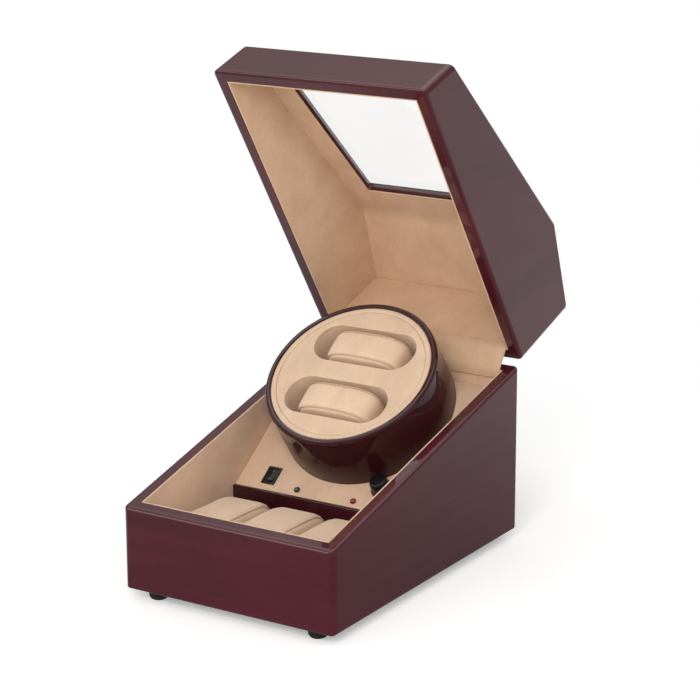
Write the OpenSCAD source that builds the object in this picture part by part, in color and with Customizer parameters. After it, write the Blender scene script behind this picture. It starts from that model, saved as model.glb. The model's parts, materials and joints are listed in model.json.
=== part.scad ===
// Desktop watch winder box: a lacquered case with a hinged glazed lid, one
// tilted drum that turns two watches, and a tray for three resting watches.
// Origin: centre of the case's underside, so the rubber feet stand below z = 0.
// +Z up, front of the box towards -Y.

/* [Case] */
// Overall width of the box
box_width = 184; // [178:1:188]
// Overall depth of the base
base_depth = 270; // [268:1:274]
// Height of the base at the front, above its underside
front_height = 64; // [62:1:66]
// Height of the base at the rear, above its underside
rear_height = 134; // [133:1:136]
// Thickness of the base's wooden walls
wall = 9.8; // [9.2:0.1:10.2]
// Thickness of the suede-covered lining boards in the base
lining = 1.5; // [1:0.1:1.8]
// Radius of the upright corners
corner_radius = 5.5; // [3:0.5:6]
// Height of the rubber feet
foot_height = 8; // [6:0.5:9]

/* [Lid] */
// Height of the lid's upright front face
lid_front = 43.8; // [40:0.2:48]
// Height of the lid's rear face
lid_rear = 80.8; // [78:0.2:84]
// Depth of the flat top
lid_top = 79; // [74:1:84]
// Thickness of the lid's wooden walls
lid_wall = 10; // [9.4:0.1:10.4]
// Thickness of the lid's lining boards
lid_lining = 1.2; // [0.8:0.1:1.5]
// Gap between the closed lid and the base
lid_gap = 0.4; // [0.2:0.1:0.8]
// Angle the lid stands open at rest
lid_open = 71.4; // [60:0.1:72]
// Distance of the hinge axis behind the rear face
hinge_out = 3.4; // [3.2:0.1:4]
// Distance of the hinge axis below the rear rim
hinge_down = 1.6; // [1:0.1:2]
// Half width of the window opening
window_half_width = 60.2; // [56:0.2:62]
// Distance of the window opening from the lid's front fold
window_start = 34; // [30:1:44]
// Length of the window opening up the slope
window_length = 149; // [140:1:152]

/* [Drum] */
// Tilt of the drum's face and of the inclined panel, from level
tilt = 36.5; // [36:0.5:37]
// Position of the drum face's centre from the middle of the base
drum_y = 33.1; // [32:0.1:34]
// Height of the drum face's centre above the case's underside
drum_z = 139.1; // [138.5:0.1:140.5]
// Radius of the fixed lacquered housing
housing_radius = 69.5; // [69:0.1:70.5]
// Height of the housing and drum above the inclined panel
housing_height = 49.8; // [49:0.1:50.5]
// Distance of each watch slot from the drum's centre
slot_offset = 26.1; // [25:0.1:27]
// Length of a watch slot
slot_length = 88; // [84:1:90]
// Width of a watch slot
slot_width = 35; // [33:0.5:36]

/* [Drive] */
// Gear module
gear_module = 1; // [1:0.1:1]
// Teeth on the drum's gear
gear_teeth = 54; // [54:1:54]
// Teeth on the motor's pinion
pinion_teeth = 18; // [18:1:18]
// Radius of the drum's spindle
spindle_radius = 3; // [2.5:0.1:3.2]
// Radial running clearance of shafts and pins
clearance = 0.05; // [0.03:0.01:0.08]

/* [Controls] */
// Depth of the rocker's tilt either side of level
rocker_tilt = 5; // [4:0.5:8]
// Radius of the mode knob
knob_radius = 8.5; // [7:0.1:8.8]

/* [Cushions] */
// Width of a storage cushion
cushion_width = 44; // [40:1:46]
// Length of a storage cushion, front to back
cushion_length = 84; // [78:1:90]
// Height of a storage cushion
cushion_height = 44; // [40:1:48]
// Spacing of the storage cushions
cushion_pitch = 48.5; // [48:0.5:50]

/* [Hidden] */
$fn = 64;

// Outer, inner and lined faces of the base, measured from its middle
half_width = box_width / 2;
half_depth = base_depth / 2;
inner_x = half_width - wall;
inner_y = half_depth - wall;
lined_x = inner_x - lining;
lined_y = inner_y - lining;
floor_top = 6;
// Height of the base's rim at depth y
function rim_z(y) = front_height + (y + half_depth) * (rear_height - front_height) / base_depth;

// Inclined panel. The drum housing stands on it at (mount_y, mount_z), and it
// bends to a level ledge behind the drum.
panel = 8;
mount_y = drum_y + housing_height * sin(tilt);
mount_z = drum_z - housing_height * cos(tilt);
ledge_z = 116.5;
bend_radius = 16;
bend_y = mount_y + (ledge_z - mount_z) / tan(tilt) + bend_radius * tan(tilt / 2);
bend_z = ledge_z - bend_radius;
// Height of the panel's top surface at depth y
function panel_z(y) = mount_z + (y - mount_y) * tan(tilt);

// Lid, drawn closed
fold_z = front_height + lid_front;
top_z = rear_height + lid_rear;
slope_angle = atan((top_z - fold_z) / (base_depth - lid_top));
hinge_y = half_depth + hinge_out;
hinge_z = rear_height - hinge_down;
// Lid outline in (y, z), inset from its outer faces, its lower edge raised:
// front bottom, front fold, top fold, top rear, rear bottom
function lid_outline(inset, raised) = let (
        front_y = -half_depth + inset,
        rear_y = half_depth - inset,
        roof_z = top_z - inset,
        slope_inset = inset / cos(slope_angle)
    ) [
        [front_y, rim_z(front_y) + lid_gap + raised],
        [front_y, fold_z + inset * tan(slope_angle) - slope_inset],
        [-half_depth + (roof_z + slope_inset - fold_z) / tan(slope_angle), roof_z],
        [rear_y, roof_z],
        [rear_y, rim_z(rear_y) + lid_gap + raised]
    ];

// Drum and drive heights, in the drum's own frame
face = 3;
cup_bottom = -44.9;
panel_bottom = -housing_height - panel;
gear_top = panel_bottom - 5.4;
plate_top = panel_bottom - 18.4;
screw_radius = 1.25;

lacquer = [0.30, 0.09, 0.10];
suede = [0.80, 0.66, 0.52];
steel = [0.72, 0.72, 0.74];
brass = [0.80, 0.66, 0.36];
black = [0.06, 0.06, 0.06];

// ---------- frames ----------
// Drum frame: origin at the centre of the drum's face, z along its axis
module at_drum() {
    translate([0, drum_y, drum_z]) rotate([tilt, 0, 0]) children();
}
// Panel frame: origin where the housing stands, z square to the panel
module at_panel() {
    translate([0, mount_y, mount_z]) rotate([tilt, 0, 0]) children();
}
// Turns something drawn with the lid closed to where it stands open
module at_lid() {
    translate([0, hinge_y, hinge_z])
        rotate([-lid_open, 0, 0])
            translate([0, -hinge_y, -hinge_z]) children();
}
// Slope frame: origin at the closed lid's front fold, y up the slope
module at_slope() {
    translate([0, -half_depth, fold_z]) rotate([slope_angle, 0, 0]) children();
}

// ---------- helpers ----------
function reversed(points) = [for (i = [len(points) - 1:-1:0]) points[i]];
function polar(radius, angle) = [radius * cos(angle), radius * sin(angle)];
// Arc in (y, z) from a slope of the given angle round to level
function bend_arc(y, z, angle, radius) = [
    for (i = [0:6]) let (a = angle * (1 - i / 6)) [y - radius * sin(a), z + radius * cos(a)]
];
// Extrudes a (y, z) outline along X
module along_x(x0, x1) {
    translate([x0, 0, 0]) rotate([90, 0, 90]) linear_extrude(x1 - x0) children();
}
module block(x0, x1, y0, y1, z0, z1) {
    translate([x0, y0, z0]) cube([x1 - x0, y1 - y0, z1 - z0]);
}
module rod(radius, bottom, height) {
    translate([0, 0, bottom]) cylinder(r = radius, h = height);
}
module ring(outer, inner, z0, z1) {
    translate([0, 0, z0]) difference() {
        cylinder(r = outer, h = z1 - z0, $fn = 96);
        translate([0, 0, -1]) cylinder(r = inner, h = z1 - z0 + 2, $fn = 96);
    }
}
module rounded_rectangle(length, width, radius) {
    square([length - 2 * radius, width], center = true);
    square([length, width - 2 * radius], center = true);
    for (sx = [-1, 1], sy = [-1, 1])
        translate([sx * (length / 2 - radius), sy * (width / 2 - radius)]) circle(radius);
}
// Closed oval; a lower power gives squarer corners
module oval(length, height, power) {
    polygon([for (a = [0:10:350]) let (c = cos(a), s = sin(a)) [
        length / 2 * sign(c) * pow(abs(c), power),
        height / 2 * sign(s) * pow(abs(s), power)
    ]]);
}
// Countersunk screw, head up at z = 0, shank downwards
module csk_screw(radius, length) {
    head = radius * 0.9;
    translate([0, 0, -head]) cylinder(r1 = radius, r2 = radius * 1.9, h = head, $fn = 32);
    rod(radius, -length, length - radius * 0.45, $fn = 32);
}
// Pan-head screw with a cross recess, head standing on z = 0
module pan_screw(radius, length) {
    difference() {
        cylinder(r = radius * 1.9, h = radius * 1.1, $fn = 32);
        for (turn = [0, 90]) rotate(turn)
            translate([-radius * 1.2, -radius * 0.2, radius * 0.6])
                cube([radius * 2.4, radius * 0.4, radius]);
    }
    rod(radius, -length, length + 0.1, $fn = 32);
}

// ---------- base ----------
rebate = 4;
foot_x = half_width - 21.5;
foot_y = half_depth - 13.6;
foot_radius = 7.5;
foot_tip_radius = 4.2;
foot_round_height = 4.4;
foot_bore = 1.55;
cover_half_width = 62;
cover_front = 5;
cover_rear = 112;
cover_screw_inset = 4;
cover_seat = 3.3;
cover_lip = 8;
jack_x = 48;
jack_z = 24;

module at_feet() {
    for (sx = [-1, 1], sy = [-1, 1]) translate([sx * foot_x, sy * foot_y, 0]) children();
}
module at_cover_screws() {
    for (side = [-1, 1], y = [cover_front + cover_screw_inset, cover_rear - cover_screw_inset])
        translate([side * (cover_half_width - cover_screw_inset), y, 0]) children();
}
// Jack frame: z runs backwards through the rear wall
module at_jack() {
    translate([jack_x, 0, jack_z]) rotate([-90, 0, 0]) children();
}
module base_case() {
    color(lacquer) difference() {
        intersection() {
            along_x(-half_width, half_width) polygon([
                [-half_depth, 0], [half_depth, 0],
                [half_depth, rear_height], [-half_depth, front_height]]);
            translate([0, 0, -1]) linear_extrude(rear_height + 2)
                rounded_rectangle(box_width, base_depth, corner_radius);
        }
        block(-inner_x, inner_x, -inner_y, inner_y, -5, 400);
        // rebate for the bottom panel
        block(-inner_x - rebate, inner_x + rebate, -inner_y - rebate, inner_y + rebate,
            -5, floor_top);
        at_jack() rod(4.1, inner_y - 1, wall + 2);
        at_hinge_screws(-1) rod(hinge_hole_radius, -11, 12, $fn = 24);
    }
}
module bottom_panel() {
    x = inner_x + rebate - 0.1;
    y = inner_y + rebate - 0.1;
    opening_x = cover_half_width - cover_lip;
    seat_x = cover_half_width + 0.2;
    color([0.16, 0.12, 0.11]) difference() {
        block(-x, x, -y, y, 0.3, floor_top - 0.05);
        // opening, and the recess round it that takes the cover
        block(-opening_x, opening_x, cover_front + cover_lip, cover_rear - cover_lip, -5, 50);
        block(-seat_x, seat_x, cover_front - 0.2, cover_rear + 0.2, -5, cover_seat);
        at_feet() rod(foot_bore, -1, 6.5, $fn = 32);
        at_cover_screws() rod(1.3, 2.3, 3.2, $fn = 32);
    }
}
module access_cover() {
    slot_pitch = 9;
    slot_half = 1.5;
    color(black) difference() {
        block(-cover_half_width, cover_half_width, cover_front, cover_rear,
            0.5, cover_seat - 0.05);
        at_cover_screws() {
            cylinder(r = 1.35, h = 5, $fn = 32);
            translate([0, 0, 0.45]) cylinder(r1 = 2.6, r2 = 1.3, h = 1.3, $fn = 32);
        }
        // ventilation slots under the motor
        for (i = [-3:3])
            block(i * slot_pitch - slot_half, i * slot_pitch + slot_half, 40, 76, -5, 20);
    }
}
module access_cover_screws() {
    color(steel) at_cover_screws()
        translate([0, 0, 0.55]) rotate([180, 0, 0]) csk_screw(screw_radius, 4.9);
}
// Feet with a rounded lower edge and a recess for the screw head
module rubber_feet() {
    edge = foot_radius - foot_tip_radius;
    top = foot_height + 0.28;
    color(black) at_feet() translate([0, 0, -foot_height]) difference() {
        rotate_extrude($fn = 48) polygon(concat(
            [[0, 0], [foot_tip_radius, 0]],
            [for (a = [15:15:75])
                [foot_tip_radius + edge * sin(a), foot_round_height * (1 - cos(a))]],
            [[foot_radius, foot_round_height], [foot_radius, top], [0, top]]));
        rod(2.9, -1, 2.6, $fn = 32);
        cylinder(r = foot_bore, h = 20, $fn = 32);
    }
}
module foot_screws() {
    color(steel) at_feet() translate([0, 0, 1.58 - foot_height]) rotate([180, 0, 0]) {
        difference() {
            cylinder(r = 2.7, h = 1.3, $fn = 32);
            for (turn = [0, 90]) rotate(turn) translate([-1.8, -0.3, 0.7]) cube([3.6, 0.6, 2]);
        }
        rod(1.5, -9.4, 9.5, $fn = 32);
    }
}

// ---------- base interior ----------
lining_drop = 0.4; // top of the linings below the rim
pad = 3;
divider_front = -11;
divider_rear = -7;
batten_width = 8;
batten_depth = 10;
batten_front = 2;
batten_rear = 78;

module side_lining(x0, x1) {
    y = lined_y - 0.05;
    color(suede) along_x(x0, x1) polygon([
        [-y, floor_top], [y, floor_top],
        [y, rim_z(lined_y) - lining_drop], [-y, rim_z(-lined_y) - lining_drop]]);
}
module base_lining_left() { side_lining(-inner_x, -lined_x); }
module base_lining_right() { side_lining(lined_x, inner_x); }
// Lining across the box, from y0 to y1
module cross_lining(y0, y1, bottom) {
    color(suede) along_x(-inner_x, inner_x) polygon([
        [y0, bottom], [y1, bottom],
        [y1, rim_z(y1) - lining_drop], [y0, rim_z(y0) - lining_drop]]);
}
module base_lining_front() { cross_lining(-inner_y, -lined_y, floor_top); }
module base_lining_rear() { cross_lining(lined_y, inner_y, ledge_z - panel); }
module tray_floor_pad() {
    color(suede) block(-lined_x + 0.1, lined_x - 0.1, -lined_y + 0.1, divider_front - 0.1,
        floor_top, floor_top + pad);
}
module tray_divider() {
    color(lacquer) block(-lined_x + 0.1, lined_x - 0.1, divider_front, divider_rear,
        floor_top, panel_z(divider_rear) - 0.2);
}
module inclined_panel() {
    front_y = divider_rear + 0.05;
    rear_y = lined_y - 0.1;
    color(suede) difference() {
        along_x(-lined_x + 0.1, lined_x - 0.1) polygon(concat(
            [[front_y, panel_z(front_y)]],
            bend_arc(bend_y, bend_z, tilt, bend_radius),
            [[rear_y, ledge_z], [rear_y, ledge_z - panel]],
            reversed(bend_arc(bend_y, bend_z, tilt, bend_radius - panel)),
            [[front_y, panel_z(front_y) - panel / cos(tilt)]]));
        // spindle bush, housing screws, standoffs and control board
        at_panel() {
            rod(bush_bore, -panel - 5, panel + 10);
            at_housing_screws() rod(1.3, -6, 7, $fn = 32);
            at_standoffs() rod(1.55, -panel - 1, 6, $fn = 32);
            at_board_posts() rod(1.05, -panel - 1, 6, $fn = 32);
            for (side = [-1, 1]) translate([side * led_x, led_y, 0])
                rod(2.6, -panel - 5, panel + 10, $fn = 32);
        }
        at_rocker() block(-5.3, 5.3, -7.3, 7.3, -panel - 5, 5);
        at_knob() rod(3.7, -panel - 5, panel + 10, $fn = 32);
    }
}
// Battens under the panel, along each side lining
module panel_battens() {
    middle_x = lined_x - 0.1 - batten_width / 2;
    // columns: y, distance below the panel's underside
    corners = [
        [batten_front, 0.02], [batten_rear, 0.02],
        [batten_rear, batten_depth], [batten_front, batten_depth]];
    color([0.62, 0.47, 0.30]) for (side = [-1, 1])
        along_x(side * middle_x - batten_width / 2, side * middle_x + batten_width / 2)
            polygon([for (p = corners) [p[0], panel_z(p[0]) - (panel + p[1]) / cos(tilt)]]);
}

// ---------- lid ----------
lid_inner_x = half_width - lid_wall;
lid_lined_x = lid_inner_x - lid_lining;
lid_lining_raise = 0.3;
roof_radius = 26;

// Block over the window opening, grown on all four sides, in the slope frame
module window_block(grow, z0, z1) {
    block(-window_half_width - grow, window_half_width + grow,
        window_start - grow, window_start + window_length + grow, z0, z1);
}
module lid_shell() {
    color(lacquer) at_lid() difference() {
        intersection() {
            along_x(-half_width, half_width) polygon(lid_outline(0, 0));
            linear_extrude(260) rounded_rectangle(box_width, base_depth, corner_radius);
        }
        along_x(-lid_inner_x, lid_inner_x) polygon(lid_outline(lid_wall, -40));
        // opening, and the rebate for the pane and bead
        at_slope() {
            window_block(0, -20, 10);
            window_block(9, -4.6, 10);
        }
        at_hinge_screws(1) rod(hinge_hole_radius, -9.4, 12, $fn = 24);
    }
}
module window_pane() {
    color([0.85, 0.9, 0.92, 0.35]) at_lid() at_slope() window_block(8.9, -4.58, -2.42);
}
module window_bead() {
    color(lacquer) at_lid() at_slope() difference() {
        union() {
            window_block(8.95, -2.4, -0.02);
            window_block(8.2, -1, 0.6);
        }
        window_block(5, -20, 10);
    }
}
module lid_side_lining(x0, x1) {
    color(suede) at_lid() along_x(x0, x1) polygon(lid_outline(lid_wall, lid_lining_raise));
}
module lid_lining_left() { lid_side_lining(-lid_inner_x, -lid_lined_x); }
module lid_lining_right() { lid_side_lining(lid_lined_x, lid_inner_x); }
// Lining along one side of the outline, from point i to the next
module lid_strip(i) {
    outer = lid_outline(lid_wall, lid_lining_raise);
    inner = lid_outline(lid_wall + lid_lining, lid_lining_raise);
    x = lid_lined_x - 0.02;
    color(suede) at_lid() along_x(-x, x)
        polygon([outer[i], outer[i + 1], inner[i + 1], inner[i]]);
}
module lid_lining_front() { lid_strip(0); }
module lid_lining_rear() { lid_strip(3); }
// Lining under the slope and the flat top, bent round between them
module lid_lining_roof() {
    outer = lid_outline(lid_wall, lid_lining_raise);
    inner = lid_outline(lid_wall + lid_lining, lid_lining_raise);
    x = lid_lined_x - 0.02;
    tangent = roof_radius * tan(slope_angle / 2);
    y = inner[2][0] - tangent * cos(slope_angle) + roof_radius * sin(slope_angle);
    z = inner[2][1] - tangent * sin(slope_angle) - roof_radius * cos(slope_angle);
    color(suede) at_lid() difference() {
        along_x(-x, x) polygon(concat(
            [outer[1]],
            bend_arc(y, z, slope_angle, roof_radius + lid_lining),
            [outer[3], inner[3]],
            reversed(bend_arc(y, z, slope_angle, roof_radius)),
            [inner[1]]));
        at_slope() window_block(0.1, -20, 10);
    }
}

// ---------- hinges ----------
// Butt hinges on the rear faces, one each side. up is 1 for the lid's half of
// a hinge and -1 for the base's.
hinge_x = 52;
leaf = 1.4;
leaf_half_width = 17;
leaf_reach = 20;
knuckle_radius = 2.9;
knuckle_half = 5.6; // half length of the middle knuckle
pin_radius = 1.2;
hinge_hole_radius = 1.05;
hinge_screw_x = 10;
hinge_screw_z = 12;

// Screw frame: origin on the leaf's outer face, z pointing backwards
module at_leaf_screws(side, up) {
    for (k = [-1, 1])
        translate([side * hinge_x + k * hinge_screw_x, half_depth + leaf,
            hinge_z + up * hinge_screw_z]) rotate([-90, 0, 0]) children();
}
module at_hinge_screws(up) {
    for (side = [-1, 1]) at_leaf_screws(side, up) children();
}
// Rod on the hinge axis
module hinge_rod(radius, x0, length) {
    translate([x0, hinge_y, hinge_z]) rotate([0, 90, 0])
        cylinder(r = radius, h = length, $fn = 48);
}
// Plate behind the rear face, between two distances from the hinge axis
module leaf_plate(up, x0, x1, gap, near, far) {
    block(x0, x1, half_depth + gap, half_depth + leaf,
        hinge_z + min(up * near, up * far), hinge_z + max(up * near, up * far));
}
// knuckles lists the start and end of each knuckle from the hinge's middle
module hinge_leaves(up, knuckles, bore) {
    for (side = [-1, 1]) let (x = side * hinge_x) difference() {
        union() {
            leaf_plate(up, x - leaf_half_width, x + leaf_half_width, 0.02,
                knuckle_radius + 0.5, leaf_reach);
            for (k = knuckles) {
                leaf_plate(up, x + k[0], x + k[1], 0.52, 0, 8);
                hinge_rod(knuckle_radius, x + k[0], k[1] - k[0]);
            }
        }
        hinge_rod(bore, x - 30, 60);
        at_leaf_screws(side, up) {
            rod(hinge_hole_radius, -5 - leaf, 12, $fn = 24);
            translate([0, 0, -1]) cylinder(r1 = 1.04, r2 = 2.14, h = 1.1, $fn = 24);
        }
    }
}
module hinge_leaves_base() {
    color(brass) hinge_leaves(-1, [[-knuckle_half, knuckle_half]], pin_radius + 0.02);
}
module hinge_leaves_lid() {
    start = knuckle_half + 0.3;
    color(brass) at_lid() hinge_leaves(1,
        [[-leaf_half_width, -start], [start, leaf_half_width]], pin_radius + clearance);
}
module hinge_pins() {
    reach = leaf_half_width + 0.4;
    color(brass) for (side = [-1, 1]) hinge_rod(pin_radius, side * hinge_x - reach, 2 * reach);
}
module hinge_screws(up) {
    at_hinge_screws(up) translate([0, 0, -1]) {
        cylinder(r1 = 1, r2 = 1.95, h = 0.95, $fn = 24);
        rod(1, -8, 8.05, $fn = 24);
    }
}
module hinge_screws_base() { color(brass) hinge_screws(-1); }
module hinge_screws_lid() { color(brass) at_lid() hinge_screws(1); }

// Suede strip that covers the gap between the rear linings when the lid is open
module hinge_cover_strip() {
    strip = 0.7;
    overlap = 7;
    gap = 0.1;
    // lower and upper ends on the lid's rear lining, from the hinge axis
    lid_y = half_depth - lid_wall - lid_lining;
    lower = [lid_y - hinge_y, rim_z(lid_y) + lid_gap + lid_lining_raise - hinge_z];
    upper = lower + [0, overlap];
    function turned(p) = [
        hinge_y + p[0] * cos(lid_open) + p[1] * sin(lid_open),
        hinge_z - p[0] * sin(lid_open) + p[1] * cos(lid_open)];
    outer_y = lined_y - gap;
    rim = rim_z(lined_y);
    color(suede) along_x(-lined_x + 0.5, lined_x - 0.5) polygon([
        [outer_y, rim - overlap], [outer_y, rim + 0.3],
        turned(lower + [-gap, -0.1]), turned(upper + [-gap, 0]),
        turned(upper + [-gap - strip, 0]), turned(lower + [-gap - strip, 0]),
        [outer_y - strip, rim + 0.4], [outer_y - strip, rim - overlap]]);
}

// ---------- drum ----------
housing_bottom = -housing_height + 0.02;
housing_bore = 66.2;
housing_screw_circle = 50;
bush_bore = 5.05;
cup_radius = 64.5;
cup_bore = 62.6;
cup_floor = 3;
boss_radius = 9;
drum_cushion_width = 30.8;

module at_housing_screws() {
    for (a = [90, 210, 330]) rotate(a) translate([housing_screw_circle, 0, 0]) children();
}
module slots_plan() {
    for (side = [-1, 1]) translate([0, side * slot_offset])
        rounded_rectangle(slot_length, slot_width, slot_width * 0.48);
}
// One turned piece: a plain wall with a rounded lip standing around the face
module drum_housing() {
    lip_width = 2.8;
    lip_height = 3.4;
    lip_top = 1.2;
    // columns: radius, z
    color(lacquer) at_drum() rotate_extrude($fn = 96) polygon(concat(
        [[housing_bore, housing_bottom], [housing_radius, housing_bottom]],
        [for (a = [0:15:90]) [
            housing_radius - lip_width + lip_width * cos(a),
            lip_top - lip_height + lip_height * sin(a)]],
        [[65.5, 1.0], [64.9, 0.5], [64.9, -6], [housing_bore, -7.3]]));
}
module housing_floor() {
    color(black) at_drum() difference() {
        rod(housing_bore - 0.1, housing_bottom, 2.9, $fn = 96);
        rod(bush_bore, -60, 20);
        at_housing_screws() {
            rod(1.35, -60, 20, $fn = 32);
            translate([0, 0, -housing_height + 1.72])
                cylinder(r1 = 1.35, r2 = 2.6, h = 1.25, $fn = 32);
        }
    }
}
module housing_screws() {
    color(steel) at_drum() at_housing_screws()
        translate([0, 0, -housing_height + 2.85]) csk_screw(screw_radius, 8);
}
module spindle_bush() {
    color(brass) at_drum() difference() {
        union() {
            rod(boss_radius, -housing_height + 2.94, 1.4);
            rod(bush_bore - 0.05, panel_bottom - 2, panel + 5.2);
        }
        rod(spindle_radius + clearance, -80, 60);
    }
}
module drum_cup() {
    color(black) at_drum() difference() {
        union() {
            rod(cup_radius, cup_bottom, cup_floor, $fn = 96);
            ring(cup_radius, cup_bore, cup_bottom, -face - 0.1);
            rod(boss_radius, cup_bottom, 6);
        }
        rod(spindle_radius + 0.02, -60, 40);
    }
}
module drum_insert() {
    bottom = cup_bottom + cup_floor + 0.05;
    color(suede) at_drum() difference() {
        rod(cup_bore - 0.1, bottom, -face - 0.05 - bottom, $fn = 96);
        translate([0, 0, -38.5]) linear_extrude(60) slots_plan();
        rod(boss_radius + 0.2, cup_bottom, 6.4);
    }
}
module drum_face_ring() { color(suede) at_drum() ring(64.4, 60.3, -face, 0.3); }
module drum_face_disc() {
    color(suede) at_drum() difference() {
        rod(60.2, -face, face, $fn = 96);
        translate([0, 0, -10]) linear_extrude(20) slots_plan();
    }
}
module drum_spindle() {
    bottom = gear_top - 12;
    color(steel) at_drum() rod(spindle_radius, bottom, cup_bottom + 5.5 - bottom);
}
module spindle_clip() {
    color(steel) at_drum()
        ring(5.6, spindle_radius + 0.02, panel_bottom - 3, panel_bottom - 2.15);
}
// Watch cushion, an oval seen along the drum's slots' width
module drum_cushion(side) {
    color(suede) at_drum()
        translate([0, side * slot_offset + drum_cushion_width / 2, -16]) rotate([90, 0, 0])
            linear_extrude(drum_cushion_width) oval(69, 42, 0.62);
}
module drum_cushion_upper() { drum_cushion(1); }
module drum_cushion_lower() { drum_cushion(-1); }

// ---------- drive ----------
pressure_angle = 20;
tooth_thinning = 0.05; // taken off each flank at the pitch circle
gear_face = 6;
hub_radius = 7;
gear_distance = gear_module * (gear_teeth + pinion_teeth) / 2;
motor_angle = 225;
motor_at = polar(gear_distance, motor_angle);
motor_shaft_radius = 1.5;
motor_screw_x = 12.5;
plate_bottom = plate_top - 1.5;
// x, y of each standoff in the drum's frame
standoffs = [[-52, -44], [34, -44], [-52, 20], [36, 20]];

module at_motor() {
    at_drum() translate([motor_at[0], motor_at[1], 0]) children();
}
module at_motor_screws() {
    for (side = [-1, 1]) translate([side * motor_screw_x, 0, 0]) children();
}
module at_standoffs() {
    for (p = standoffs) translate([p[0], p[1], 0]) children();
}
function involute(angle) = tan(angle) * 180 / PI - angle;
// Half the angle a tooth spans at a radius
function half_tooth(teeth, radius) = let (
        pitch = gear_module * teeth / 2,
        base = pitch * cos(pressure_angle)
    ) 90 / teeth - tooth_thinning / pitch * 180 / PI + involute(pressure_angle)
        - (radius > base ? involute(acos(base / radius)) : 0);
// Gear outline, up one flank and down the other for each tooth
function gear_outline(teeth) = let (
        base = gear_module * teeth * cos(pressure_angle) / 2,
        tip = gear_module * (teeth / 2 + 0.9),
        root = gear_module * (teeth / 2 - 1.2),
        start = max(base, root + 0.05),
        flank = concat([root], [for (i = [0:4]) start + (tip - start) * i / 4])
    ) [for (k = [0:teeth - 1]) each concat(
        [for (r = flank) polar(r, 360 * k / teeth - half_tooth(teeth, r))],
        [for (r = reversed(flank)) polar(r, 360 * k / teeth + half_tooth(teeth, r))]
    )];

// Gear with a hub and a ring of six round holes
module drum_gear() {
    color([0.93, 0.92, 0.86]) at_drum() difference() {
        union() {
            translate([0, 0, gear_top - gear_face]) linear_extrude(gear_face)
                rotate(motor_angle) polygon(gear_outline(gear_teeth));
            rod(hub_radius, gear_top - 11, 11);
            rod(hub_radius, gear_top - gear_face, gear_face + 1.5);
        }
        rod(spindle_radius + 0.02, -120, 110);
        for (a = [0:60:300]) rotate(a) translate([16, 0, 0]) rod(4.2, gear_top - 10, 12);
    }
}
module motor_plate() {
    color(steel) difference() {
        at_drum() block(-58, 42, -50, 26, plate_bottom, plate_top - 0.02);
        at_drum() at_standoffs() rod(1.6, -100, 60, $fn = 32);
        at_motor() rod(4.1, -100, 60);
        at_motor() at_motor_screws() rod(1.35, -100, 60, $fn = 32);
        at_drum() rod(9, -100, 60);
    }
}
module plate_standoffs() {
    color(brass) at_drum() at_standoffs() difference() {
        union() {
            rod(3.5, plate_top, panel_bottom - plate_top - 0.02, $fn = 6);
            rod(1.5, panel_bottom - 1, 5.6, $fn = 32);
        }
        rod(1.3, plate_top - 1, 9, $fn = 32);
    }
}
// Four screws hold the plate to its standoffs, two hold the gear motor to the plate
module drive_screws() {
    color(steel) {
        at_drum() at_standoffs() translate([0, 0, plate_bottom - 0.02]) rotate([180, 0, 0])
            pan_screw(screw_radius, 7);
        at_motor() at_motor_screws() translate([0, 0, plate_top]) pan_screw(screw_radius, 7);
    }
}
module gear_motor() {
    color([0.55, 0.56, 0.58]) at_motor() translate([0, 0, plate_bottom - 0.02]) difference() {
        union() {
            // gearbox, boss, motor can and rear bearing
            rod(17, -10, 10);
            rod(4, 0, 3);
            rod(13, -32, 22.5);
            rod(4, -33.5, 2);
        }
        rod(motor_shaft_radius + clearance, -6, 20, $fn = 32);
        at_motor_screws() rod(1.3, -6, 10, $fn = 32);
    }
}
module motor_shaft() {
    color(steel) at_motor()
        rod(motor_shaft_radius, plate_top - 7, gear_top - plate_top + 8, $fn = 32);
}
module motor_pinion() {
    color([0.85, 0.75, 0.45]) at_motor() difference() {
        // turned so that a gap meets the gear's tooth
        translate([0, 0, gear_top - gear_face - 1]) linear_extrude(gear_face + 2)
            rotate(motor_angle + 180 + 180 / pinion_teeth) polygon(gear_outline(pinion_teeth));
        rod(motor_shaft_radius + 0.02, gear_top - 20, 40, $fn = 32);
    }
}

// ---------- controls ----------
// Places are x, y in the panel's frame
rocker_x = -53;
rocker_y = -74;
rocker_axle = 1;
rocker_axle_z = -1;
led_x = 25.4;
led_y = -82;
led_radius = 2.5;
led_dome_z = 0.4;
lead_offset = 1.27;
knob_x = 44.5;
knob_y = -67.5;
knob_shaft = 2;
board_y = -76;
board_top = -panel - 6.1;
board_post_x = 31;

module at_rocker() {
    at_panel() translate([rocker_x, rocker_y, 0]) children();
}
module at_knob() {
    at_panel() translate([knob_x, knob_y, 0]) children();
}
module at_board_posts() {
    for (side = [-1, 1]) translate([side * board_post_x, board_y, 0]) children();
}
module rocker_switch_body() {
    color(black) at_rocker() difference() {
        union() {
            block(-5.8, 5.8, -8, 8, 0.02, 1.3);
            block(-5.2, 5.2, -7.2, 7.2, -12, 0.5);
            for (y = [-4, 0, 4]) block(-1.5, 1.5, y - 0.4, y + 0.4, -17, -11.5);
        }
        block(-4.1, 4.1, -6.4, 6.4, -8, 5);
        translate([-4.7, 0, rocker_axle_z]) rotate([0, 90, 0])
            cylinder(r = rocker_axle + clearance, h = 9.4, $fn = 32);
    }
}
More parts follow.
